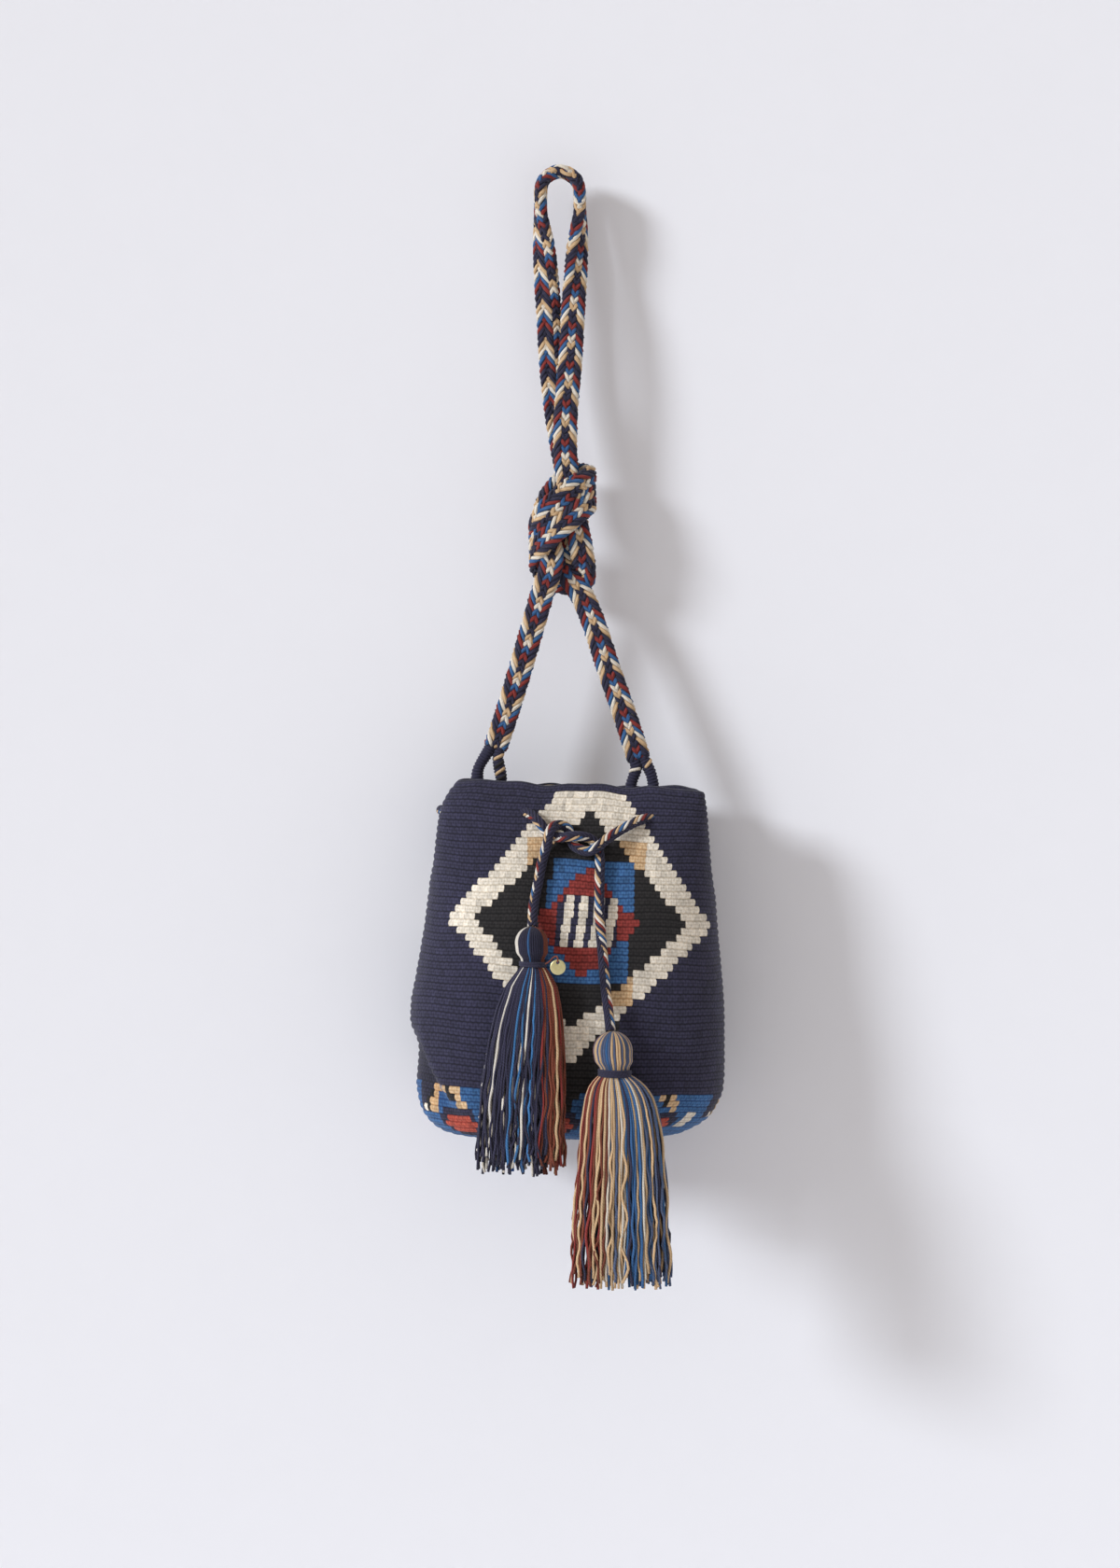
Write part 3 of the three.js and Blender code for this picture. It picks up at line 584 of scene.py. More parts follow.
# Drawcord
CORD_ROUTE = (
    (-18, -64.2, -498.8), (-17.2, -57.2, -484.5), (-14, -53.2, -468.5), (-11.6, -50, -455.7),
    (-8.4, -50.6, -444.5), (-7, -52, -437.8), (-4.6, -50.2, -433.8), (0.2, -45, -432.6),
    (4.8, -43.6, -434.5), (6.7, -45, -439.9), (8.6, -46.8, -445.2), (13.1, -49.6, -448.4),
    (19.2, -53, -449.6), (24.7, -54.4, -446.5), (32.4, -48.6, -440.5), (45.2, -43.4, -432.8),
    (56, -35, -428.6), (67.5, -26.6, -428.6), (84, -19.5, -429.2), (93.4, -11.5, -429.5),
    (95.6, 0, -429.6), (93.4, 11.5, -429.5), (84, 17.6, -429.2), (66, 22.4, -428.6),
    (50, 24.6, -428), (38, 30.4, -427.6), (26, 36.4, -427.2), (8, 38.2, -426.4),
    (-10, 36.4, -425.6), (-21, 30.4, -425.2), (-33, 24.6, -424.6), (-52, 22, -424),
    (-68.5, 17, -423.4), (-76.6, 11, -423), (-79.6, 0, -423), (-76.6, -11, -423),
    (-68, -19.4, -423.4), (-50, -25.8, -424), (-31, -28.6, -424.6), (-20.6, -35, -425),
    (-13.5, -42.8, -430.8), (-8, -44.4, -437.6), (-1.2, -48.8, -440.5), (6.7, -52.2, -439.9),
    (14.1, -49.8, -439.9), (20.5, -47, -442), (24.5, -47.2, -446.9), (26, -49.4, -453.8),
    (25.8, -53.5, -469.7), (25.9, -57.6, -491.5), (27.7, -60.9, -515.1), (29.8, -63.6, -539.9),
    (31.6, -67, -554.5), (32.8, -69.9, -565.9),
)
CORD_STEP = 1.2
cord_run, cord_line = evenly(smooth_route(CORD_ROUTE)[0], CORD_STEP)
CORD_YARNS = ("navy",) * 8 + ("white", "red", "navy", "tan", "blue", "white", "navy", "tan")
BAG_MIDDLE = 12.7
# The cord's two columns meet on its outer side, which looks away from the bag's middle
cord_out = unit((cord_line - (BAG_MIDDLE, 0, 0)) * (1, 1, 0))
cord_wide = np.cross(unit(np.gradient(cord_line, axis=0)), cord_out)
half_turn = 0.5 * (smooth_step(200, 300, cord_run) - smooth_step(-85, -50, cord_run - cord_run[-1]))
cord_tubes, cord_gap_shade = braid(
    cord_run,
    cord_line,
    cord_wide,
    section_points(2.15, 2.15, 1.0),
    lay=28,
    per_family=8,
    lift=0.45,
    yarn=(1.0, 0.85),
    twist=half_turn,
)
cord_colours = np.array([linear(yarn) for yarn in CORD_YARNS])
cord_step = cord_run[1] - cord_run[0]
drawcord = make_bundle("drawcord_braid", cord_tubes, cord_colours, cord_yarn, cord_step, cord_gap_shade)
fit(drawcord, "bag", "drawcord")

# Bag
RIM_DROP = 406.5
BAG_HEIGHT = 234.5
ROW_TILT = -0.042
SIDE_FOLDS = (39.3, 22.6)  # how far the right and the left side are pushed in at the rim
FOLD_HALF = 8.5
CREASE_DEPTH = 7.5
RIM_BLUNTNESS = 0.45  # power of the section's cosine and sine: 1 is an ellipse, and less is squarer
BODY_BLUNTNESS = 0.833
STATIONS = np.array((
    # share of the height, widest left, right, front and back
    (0.000, -70.6, 96, -27, 26),
    (0.083, -80.6, 98.6, -35.5, 33),
    (0.241, -85.2, 102.2, -48, 41),
    (0.399, -89.6, 105.2, -55, 46),
    (0.548, -95.5, 108.2, -58.5, 48.5),
    (0.655, -99.4, 109.4, -59.5, 49),
    (0.825, -98.2, 109, -58, 48),
    (0.889, -96.5, 105, -54.5, 46),
    (0.940, -90.5, 97.5, -48.5, 42),
    (0.979, -78.5, 83, -39, 34.5),
    (0.996, -60, 66, -27, 25),
))


def station_value(column, place):
    """Uniform Catmull-Rom value between the stations."""
    values, n = STATIONS[:, column], len(STATIONS)
    i = np.clip(np.floor(place).astype(int), 0, n - 2)
    f = place - i
    a, b, c, d = (values[np.clip(i + k, 0, n - 1)] for k in (-1, 0, 1, 2))
    return 0.5 * (2 * b + (c - a) * f + (2 * a - 5 * b + 4 * c - d) * f**2 + (3 * b - a - 3 * c + d) * f**3)


def crease_share(angle, share):
    """The soft fold low on the left: steep on the front's side of its line and long behind it, so that the
    front hangs over. The line turns forwards as it goes down."""
    line = np.radians(190 + 34 * smooth_step(0.7, 1.0, share))
    apart = np.mod(angle, TAU) - line
    near = np.exp(-((apart / np.radians(np.where(apart > 0, 8, 28))) ** 2))
    return near * smooth_step(0.68, 0.78, share) * (1 - smooth_step(0.88, 0.97, share))


def bag_surface(angle, place):
    """The CAD's outer surface: a squared ellipse at each level, its sides folded in near the rim."""
    angle, place = np.broadcast_arrays(np.asarray(angle, float), np.asarray(place, float))
    last = len(STATIONS) - 1
    level = np.minimum(place, last)
    share, left, right, front, back = (station_value(k, level) for k in range(5))
    closing = np.clip(last + 1 - place, 0, 1)
    share = 1 - (1 - share) * closing
    c, s = np.cos(angle), np.sin(angle)
    bluntness = RIM_BLUNTNESS + (BODY_BLUNTNESS - RIM_BLUNTNESS) * smooth_step(0, 0.4, share)
    across, forth = np.sign(c) * np.abs(c) ** bluntness, np.sign(s) * np.abs(s) ** bluntness
    in_y = forth * (back - front) / 2 * closing
    folded = (1 - smooth_step(0, 0.3, share)) * np.exp(-((in_y / FOLD_HALF) ** 2))
    fold = np.where(c > 0, *SIDE_FOLDS) * folded
    crease = CREASE_DEPTH * crease_share(angle, share)
    x = (left + right) / 2 + across * ((right - left) / 2 * closing - crease) - np.sign(c) * fold
    y = (back + front) / 2 + in_y - np.sign(in_y) * crease * 0.6 * np.abs(forth)
    tilt = ROW_TILT * (x - BAG_MIDDLE) * (1 - smooth_step(0.85, 1, share))
    return np.stack([x, y, -RIM_DROP - share * BAG_HEIGHT + tilt], -1)


ROW_PITCH = 4.75
STITCHES = 134
PER_STITCH = 3  # mesh columns and rows in one stitch
COLUMNS = STITCHES * PER_STITCH
BASE_ROWS = 9
LEAN = -0.035  # each row starts a little further left than the one above it


def wall_places():
    """Places of the mesh rows down the wall, a third of a crochet row apart along the front."""
    place = np.linspace(0, len(STATIONS) - 1, 2400)
    front = bag_surface(-math.pi / 2, place)
    run = length_along(front)
    rows = int(run[-1] / ROW_PITCH)
    return np.interp(np.linspace(0, run[-1], rows * PER_STITCH + 1), run, place), rows


def even_angles(place, lean):
    """One mesh row: angles that part the section into even lengths, from the front round by the right."""
    angle = np.linspace(-math.pi / 2, 1.5 * math.pi, 901)
    ring = bag_surface(angle, place)
    run = length_along(ring)
    target = np.mod(np.arange(COLUMNS) / COLUMNS * run[-1] + lean, run[-1])
    return np.interp(target, run, angle)


wall_place, wall_rows = wall_places()
base_place = len(STATIONS) - 1 + np.linspace(0, 0.97, BASE_ROWS * PER_STITCH + 1)[1:]
places = np.concatenate([wall_place, base_place])
angles = np.stack([even_angles(p, LEAN * k * ROW_PITCH / PER_STITCH) for k, p in enumerate(places)])
skin = bag_surface(angles, places[:, None])
bag_rows = wall_rows + BASE_ROWS


def ring_normals(surface):
    """Unit normals of a ring grid, from its differences down and round."""
    down = np.gradient(surface, axis=0)
    sideways = np.roll(surface, -1, axis=1) - np.roll(surface, 1, axis=1)
    return unit(np.cross(down, sideways))


skin_out = ring_normals(skin)
mesh_row = np.arange(len(places))[:, None]
mesh_column = np.arange(COLUMNS)[None]
in_row = mesh_row % PER_STITCH
in_stitch = mesh_column % PER_STITCH


def wander(rows, columns):
    """How far the rows stray up or down, in millimetres: two slow waves round the bag, more at the rim."""
    turn = columns / COLUMNS
    slow = 0.5 * np.sin(TAU * (5 * turn + rows * 0.010)) + 0.3 * np.sin(TAU * (11 * turn - rows * 0.019))
    at_rim = 0.75 * np.sin(TAU * (9 * turn + 0.2)) + 0.45 * np.sin(TAU * (17 * turn + 0.6))
    return slow + at_rim * (1 - smooth_step(0, 14, rows))


def cord_distance():
    """How far each place near the rim lies from the drawcord's middle line."""
    near = np.full(skin.shape[:2], 99.0)
    low = int(np.searchsorted(-skin[:, 0, 2], 462))
    for run_points in np.array_split(cord_line, 40):
        apart = np.linalg.norm(skin[:low, :, None] - run_points, axis=-1).min(-1)
        near[:low] = np.minimum(near[:low], apart)
    return near


wobble = random.normal(0, 0.10, (bag_rows + 1, STITCHES))[mesh_row // PER_STITCH, mesh_column // PER_STITCH]
RIDGE = 0.62  # height of a row over its gaps, of which SINK lies under the CAD's surface
SINK = 0.1
row_ridge = np.where(in_row == 0, 0.0, 1.0)
stitch_ridge = np.where(in_stitch == 0, 0.84, 1.0)
PRESS = 0.6  # how deep the drawcord presses the knit in, and how far from the cord's middle line
PRESS_REACH = 4.5
press = PRESS * np.exp(-((cord_distance() / PRESS_REACH) ** 2))
height = row_ridge * stitch_ridge * (RIDGE + wobble) - SINK - press
knit = skin + skin_out * height[..., None]
knit[..., 2] += wander(mesh_row, mesh_column)
CORNER_OUT = 3.0  # close to the rim the right corner stands out, and the back lies lower
BACK_DOWN = 1.6
near_rim = np.exp(-mesh_row / 14)
knit[..., 0] += CORNER_OUT * smooth_step(60, 92, skin[..., 0]) * near_rim
knit[..., 2] -= BACK_DOWN * smooth_step(0, 20, skin[..., 1]) * near_rim
# Painted shade: the colour is darkened along the gaps between rows, less between stitches, and in the crease
# low on the left
gap_shade = np.where(in_row == 0, 0.14, np.where(in_stitch == 0, 0.05, 0.0))
share_down = station_value(0, np.minimum(places, len(STATIONS) - 1))[:, None]
gap_shade = np.maximum(gap_shade, 0.5 * crease_share(angles + 0.05, share_down))


# Each diamond's half width, its height above and below its middle, and its shift to the right
CREAM_DIAMOND = (87.2, 113.3, 92.1, 0)
BLACK_DIAMOND = (70.8, 74.4, 68.3, 0)
RED_DIAMOND = (34.8, 39.5, 36.0, 3.7)
STRIPE_PITCH = 9.6
STRIPE_WIDTH = 5.5
BAND_REPEATS = 7
BAND_TOP = -111  # below the diamond's middle
BAND_MIDDLE = -2.5
BAND_ROWS = 10
SPINE = 12.8  # middle line of the pattern at the diamond's middle, and how it leans with the height
SPINE_LEAN = 0.085
DIAMOND_DROP = 495.9  # from the loop to the diamond's middle


def bag_yarns():
    """The yarn at every row and mesh column, by rule for whole stitches: a stepped diamond ring front and
    back, and a banded base. Only the stripes in the middle change within a stitch."""
    names = ["navy", "black", "cream", "tan", "blue", "red", "orange"]
    number = {name: k for k, name in enumerate(names)}
    middle_row = np.arange(bag_rows) * PER_STITCH + 1
    stitch_middle = np.arange(COLUMNS) // PER_STITCH * PER_STITCH + 1
    here = skin[middle_row][:, stitch_middle]
    up = (skin[middle_row, 0, 2] + DIAMOND_DROP)[:, None] * np.ones((1, COLUMNS))
    spine = SPINE + SPINE_LEAN * up
    middle = here[..., 0].mean(1, keepdims=True)
    on_back = here[..., 1] > -3

    def from_spine(x):
        """How far right of the pattern's leaning middle line a place is, seen from its own side."""
        return np.where(on_back, 2 * middle - x, x) - spine

    across = from_spine(here[..., 0])
    yarn = np.zeros(across.shape, int)

    def paint(where, name):
        """Gives these places that yarn, over what they had."""
        yarn[where] = number[name]

    def diamond(side, top, bottom, at):
        """Places nearer its middle line than the half width that is left at their height."""
        slope = np.where(up > 0, 1 - up / top, 1 + up / bottom)
        return np.abs(across - at) < side * slope

    def field(left, right, low, high):
        """Places between two sides and two heights."""
        return (across > left) & (across < right) & (up > low) & (up < high)

    ring = diamond(*CREAM_DIAMOND) & (up < 87.5)
    paint(field(-30, 30, -126, -55), "black")
    paint(ring, "cream")
    paint(ring & field(-38, 38, -53, 53), "tan")
    paint(diamond(*BLACK_DIAMOND), "black")
    paint(field(-22, 32.5, -37, 41), "blue")
    paint(diamond(*RED_DIAMOND), "red")
    block = field(-14.5, 24, -12.4, 17)
    paint(block, "navy")
    stripe = from_spine(skin[middle_row][..., 0]) + 11.8 - 0.07 * up
    paint(block & (np.mod(stripe, STRIPE_PITCH) < STRIPE_WIDTH) & (stripe > 0), "cream")

    first = np.argmax(up[:, 0] < BAND_TOP)
    row = np.arange(bag_rows)[:, None] - first + np.zeros((1, COLUMNS), int)
    from_middle = np.abs(here[first + 5, :, 0] - BAND_MIDDLE) + 99 * on_back[first + 5]
    middle_stitch = np.argmin(from_middle) // PER_STITCH
    repeat = STITCHES / BAND_REPEATS
    stitch = np.arange(COLUMNS) // PER_STITCH
    part = np.mod(stitch - middle_stitch + repeat / 2, repeat) - repeat / 2 + 0 * up
    band = (row >= 0) & (row < BAND_ROWS)
    tip = (row < 3) & (np.abs(across) < 9 - 3 * row) & ~on_back

    def leg(at, lean, half, first_row, last_row):
        """Stitches near a line that moves sideways by its lean with each row."""
        return (row >= first_row) & (row <= last_row) & (np.abs(part - at - lean * row) < half)

    def oval(half_wide, half_tall, middle_at):
        """Stitches whose shares of the half width and half height, squared, add up to less than 1."""
        return band & ((part / half_wide) ** 2 + ((row - middle_at) / half_tall) ** 2 < 1)

    paint(band, "blue")
    paint((row >= 0) & (row < 4) & (part < -5.6 - 0.3 * row), "navy")
    paint(leg(-5.7, -0.3, 0.8, 1, 3), "black")
    paint(leg(-4.4, -0.35, 0.8, 0, 3), "tan")
    paint(leg(-7.6, 0, 0.6, 3, 3), "cream")
    paint(leg(-1.4, 0, 0.6, 0, 0), "tan")
    paint(leg(-0.4, 0, 0.6, 0, 1), "black")
    paint(leg(0.8, 0.4, 0.7, 0, 2), "tan")
    paint(oval(4.3, 2.7, 4.8), "navy")
    paint(oval(3.4, 1.6, 5), "orange")
    paint(leg(6.2, 0, 0.8, 3, 5), "cream")
    paint(band & tip, "black")
    under = row - BAND_ROWS + 1
    star = np.abs(part) * 0.94
    paint((under > 0) & (star < 9 - under), "navy")
    paint((under > 1) & (star < 7 - under), "tan")
    paint((under > 2) & (star < 5 - under), "red")
    paint(under >= 8, "cream")
    return np.array([linear(name) for name in names])[yarn]


def round_the_edges(yarns):
    """Where a pale yarn meets a dark one in a row, its last stitch swells over the dark one's side and
    draws back at the gaps between rows, as the rounded end of a crocheted run does."""
    light = yarns.sum(2)
    step = (np.roll(light, 1, axis=1) - light)[:, ::PER_STITCH]
    side = np.sign(step) * (np.abs(step) > 0.15)
    side = np.concatenate([side, side[-1:]])
    along = unit(np.roll(knit, -1, axis=1) - np.roll(knit, 1, axis=1))
    rows = np.arange(len(places)) // PER_STITCH
    swell = np.where(in_row == 0, -0.12 * (side[rows] + side[np.maximum(rows - 1, 0)]), 0.36 * side[rows])
    knit[:, ::PER_STITCH] += along[:, ::PER_STITCH] * swell[..., None]


stitch_yarns = bag_yarns()
round_the_edges(stitch_yarns)
uneven_dye = np.repeat(random.normal(1, 0.085, (bag_rows, STITCHES, 1)), PER_STITCH, axis=1)
stitch_colour = stitch_yarns * uneven_dye
INNER_ROWS = 22
KNIT_WALL = 3.5
inner_place = np.linspace(0, len(STATIONS) - 1 + 0.9, INNER_ROWS)
inner_angles = np.stack([even_angles(p, 0.0) for p in inner_place])
inner = bag_surface(inner_angles, inner_place[:, None])
inner_share = station_value(0, np.minimum(inner_place, len(STATIONS) - 1))[:, None]
inner_depth = 0.25 * (np.arange(INNER_ROWS) % 2)[:, None] + 6 * crease_share(inner_angles - 0.05, inner_share)
inner_skin = inner - ring_normals(inner) * (KNIT_WALL + inner_depth)[..., None]
inner_skin[..., 2] += wander(8 * np.arange(INNER_ROWS)[:, None], mesh_column)
RIM_ROUND = 1.5
over_rim = [
    knit[0] * (1 - t) + inner_skin[0] * t + np.array([0, 0, RIM_ROUND * math.sin(math.pi * t)])
    for t in (0.85, 0.5, 0.15)
]
bag_points = np.concatenate([inner_skin[::-1], np.stack(over_rim), knit])
first_outer = len(inner_skin) + len(over_rim)
quads, row_of, column_of = grid(len(bag_points), COLUMNS)
stitch_row = (row_of[:, 0] - first_outer) // PER_STITCH
inner_at = np.interp(inner_place, places, np.arange(len(places)))
inner_row = np.interp(INNER_ROWS - 1 - row_of[:, 0], np.arange(INNER_ROWS), inner_at)
stitch_row = np.where(row_of[:, 0] < INNER_ROWS, inner_row // PER_STITCH, stitch_row)
stitch_row = np.clip(stitch_row, 0, bag_rows - 1).astype(int)
face_colour = stitch_colour[stitch_row, column_of[:, 0]]
# Painted shade on every other row inside the bag and over its rim
inner_gap_shade = 0.4 * (np.arange(first_outer)[:, None] % 2) + np.zeros((1, COLUMNS))
bag_gap_shade = np.concatenate([inner_gap_shade, gap_shade]).ravel()
corners = np.stack([column_of / PER_STITCH, (row_of - first_outer) / PER_STITCH], -1)
caps = [np.arange(COLUMNS)[::-1], np.arange(COLUMNS) + (len(bag_points) - 1) * COLUMNS]
bag_marks = {"gap_shade": bag_gap_shade}
bag_points = bag_points.reshape(-1, 3)
bag = make_piece("bag_crochet", bag_points, quads, crochet_yarn, corners, face_colour, bag_marks, caps)
fit(bag, "bag", "bag_body")

# Yokes
YOKES = {
    "left_strap_yoke": (
        (-46.6, 0, -380.6), (-48.6, 0, -384.4), (-54.6, -0.3, -395.4), (-55.2, -0.5, -403.4),
        (-53.2, -0.5, -408.4), (-50.9, -0.5, -412.5), (-46.3, -0.5, -414.5), (-41.6, -0.5, -412.5),
        (-39.7, -0.5, -407.9), (-39.3, -0.5, -402.4), (-41.6, 0, -386.5), (-40.3, 0, -382.7),
    ),
    "right_strap_yoke": (
        (49.9, 0, -390.3), (51.1, 0, -394.1), (47.6, -0.5, -406.7), (48.4, -0.5, -412.2),
        (50.3, -0.5, -416.9), (55, -0.5, -418.8), (59.6, -0.5, -416.9), (61.6, -0.5, -412.2),
        (62.4, -0.5, -406.7), (60.6, -0.3, -398), (57.4, 0, -391.4), (56.2, 0, -388.3),
    ),
}


WRAP_THREAD = 2.1  # width of the thread wrapped round the yokes, and how far its crests stand out
WRAP_CREST = 0.7


def wrap_share(run, turn):
    """Where a place lies in its turn of thread, 0 at the gaps and 1 at the crest: the size of the sine of
    the way along over the thread's width, less a slant round."""
    return np.abs(np.sin(math.pi * (run / WRAP_THREAD - turn / TAU)))


# Short ends of pale yarn that show between the wraps: the yoke, how far along it, from which turn, the yarn
PALE_ENDS = (
    ("left_strap_yoke", 0.93, 0.55, "tan"), ("left_strap_yoke", 0.80, 0.50, "tan"),
    ("left_strap_yoke", 0.86, 0.52, "black"), ("left_strap_yoke", 0.74, 0.50, "black"),
    ("right_strap_yoke", 0.10, 0.55, "cream"), ("right_strap_yoke", 0.93, 0.60, "tan"),
)


def pale_end(line, share, start, stations=15):
    """A yarn laid over a third of the way round the leg, slanting down it, its ends tucked in."""
    along = unit(np.gradient(line, axis=0))
    place = share * (len(line) - 1) + np.linspace(-4, 4, stations)
    middle = read_off(place, np.arange(len(line)), line)
    ahead = along[int(share * (len(line) - 1))]
    front = square_to(np.array((0.0, -1.0, 0.0)), ahead)
    side = np.cross(ahead, front)
    turn = (np.linspace(-0.17, 0.17, stations) + start - 0.5)[:, None] * TAU
    reach = 3.8 - 0.8 * np.linspace(-1, 1, stations)[:, None] ** 4
    return middle + reach * (np.cos(turn) * front + np.sin(turn) * side)


YOKE_STEP = 0.45
for node, route in YOKES.items():
    _, line = evenly(smooth_route(route)[0], YOKE_STEP)
    line = np.vstack([line[:1] * 2 - line[3:4], line, line[-1:] * 2 - line[-4:-3]])
    run = YOKE_STEP * np.arange(len(line))[:, None]
    turn = np.arange(16)[None] / 16 * TAU
    crest = wrap_share(run, turn)
    plump = 3.65 + 0.35 * np.sin(math.pi * run / run[-1]) ** 2 + 0.2 * np.sin(run / 3.1)
    tube = round_tube(line, plump + WRAP_CREST * crest - 0.4, 16)
    # Painted shade in the grooves between turns of thread
    depth = 0.65 * (1 - crest) ** 2
    yoke = make_bundle(node + "_wraps", tube[None], linear("navy")[None], wrap_yarn, YOKE_STEP, depth[None])
    ends = [end for end in PALE_ENDS if end[0] == node]
    tubes = np.stack([round_tube(pale_end(line, share, turn), 1.15, 8) for _, share, turn, _ in ends])
    colours = np.array([linear(yarn) for *_, yarn in ends])
    # The pale ends carry a faint even painted shade
    pale = make_bundle(node + "_pale_ends", tubes, colours, wrap_yarn, 0.7, 0.1)
    for piece in (yoke, pale):
        fit(piece, "bag", node)

# Tassels
TASSELS = {
    "left_tassel": {
        "head": (-18.5, -69.0, -508.7),
        "radius": 10.6,
        "neck_drop": 13.5,
        "neck": 7.4,
        "neck_shift": 0.8,
        "binding_turns": 2,
        "skirt": ((0, 7.4, 7.4, 0), (5, 11.5, 7.8, -0.2), (14, 17.5, 8.4, -1.2), (28, 22.0, 9.0, -2.6),
                  (50, 26, 9.4, -4.4), (85, 29, 9.6, -6.6), (132, 30.6, 9.6, -8.2)),
    },
    "right_tassel": {
        "head": (34.2, -73.2, -578.6),
        "radius": 12.8,
        "neck_drop": 14.0,
        "neck": 9.4,
        "neck_shift": 1.3,
        "binding_turns": 3,
        "skirt": ((0, 9.4, 9.4, 0), (2, 12.6, 9.7, 0.5), (5, 16.4, 10.2, 1.2), (9, 19.8, 10.8, 2.0),
                  (15, 22.8, 11.3, 3), (22, 24.8, 11.6, 3.7), (34, 27, 11.9, 4.3),
                  (60, 29.8, 12, 4.6), (95, 32.4, 12, 4.2), (138, 34.4, 12, 4.2)),
    },
}
BINDING_HALF = 3.3
BINDING_YARN = 0.95  # the yarn's radius, the step between its turns, and how far its middle lies outside
BINDING_PITCH = 1.55
BINDING_OUT = 0.5
NECK_FLARE = 0.3
SKIRT_TUCK = 2.5  # how far up inside the binding the hanging yarns start
WAVER = 2.6  # farthest that a hanging yarn wanders, at its end
WHITE_INSIDE = 0.25  # share of the left tassel's inner yarns that are white

# Yarns by their place across each tassel, from -1 to 1: up to where, and how likely each yarn is there
YARN_SHARES = {
    "left_tassel": (
        (-0.55, {"navy": 0.82, "white": 0.14, "slate": 0.04}),
        (-0.2, {"navy": 0.8, "sky": 0.13, "white": 0.07}),
        (0.3, {"navy": 0.70, "sky": 0.18, "blue": 0.05, "slate": 0.03, "white": 0.04}),
        (0.5, {"navy": 0.86, "red": 0.14}),
        (0.66, {"navy": 0.35, "rust": 0.6, "red": 0.05}),
        (1.1, {"rust": 0.6, "tan": 0.16, "red": 0.24}),
    ),
    "right_tassel": (
        (-0.6, {"rust": 0.42, "red": 0.26, "tan": 0.2, "navy": 0.12}),
        (-0.34, {"rust": 0.38, "tan": 0.32, "slate": 0.2, "red": 0.1}),
        (0.08, {"tan": 0.62, "slate": 0.2, "blue": 0.08, "cream": 0.1}),
        (0.5, {"blue": 0.5, "tan": 0.28, "navy": 0.14, "cream": 0.08}),
        (1.1, {"slate": 0.32, "tan": 0.26, "navy": 0.2, "blue": 0.16, "rust": 0.06}),
    ),
}


def yarn_at(node, x, pick):
    """The yarn at a place across the tassel: pick, from 0 to 1, falls into the shares of that place."""
    shares = next(part for limit, part in YARN_SHARES[node] if x < limit)
    names = list(shares)
    return names[min(int(np.searchsorted(np.cumsum(list(shares.values())), pick)), len(names) - 1)]


GOLDEN_SHARE = 0.618034  # steps of this size, less whole turns, spread evenly over 0 to 1


def even_turns(count, wide, deep):
    """Turns that part an ellipse's outline into even lengths."""
    turn = np.linspace(0, TAU, 721)
    run = np.cumsum(np.hypot(wide * np.sin(turn), deep * np.cos(turn)))
    return np.interp((np.arange(count) + 0.5) / count * run[-1], run, turn)


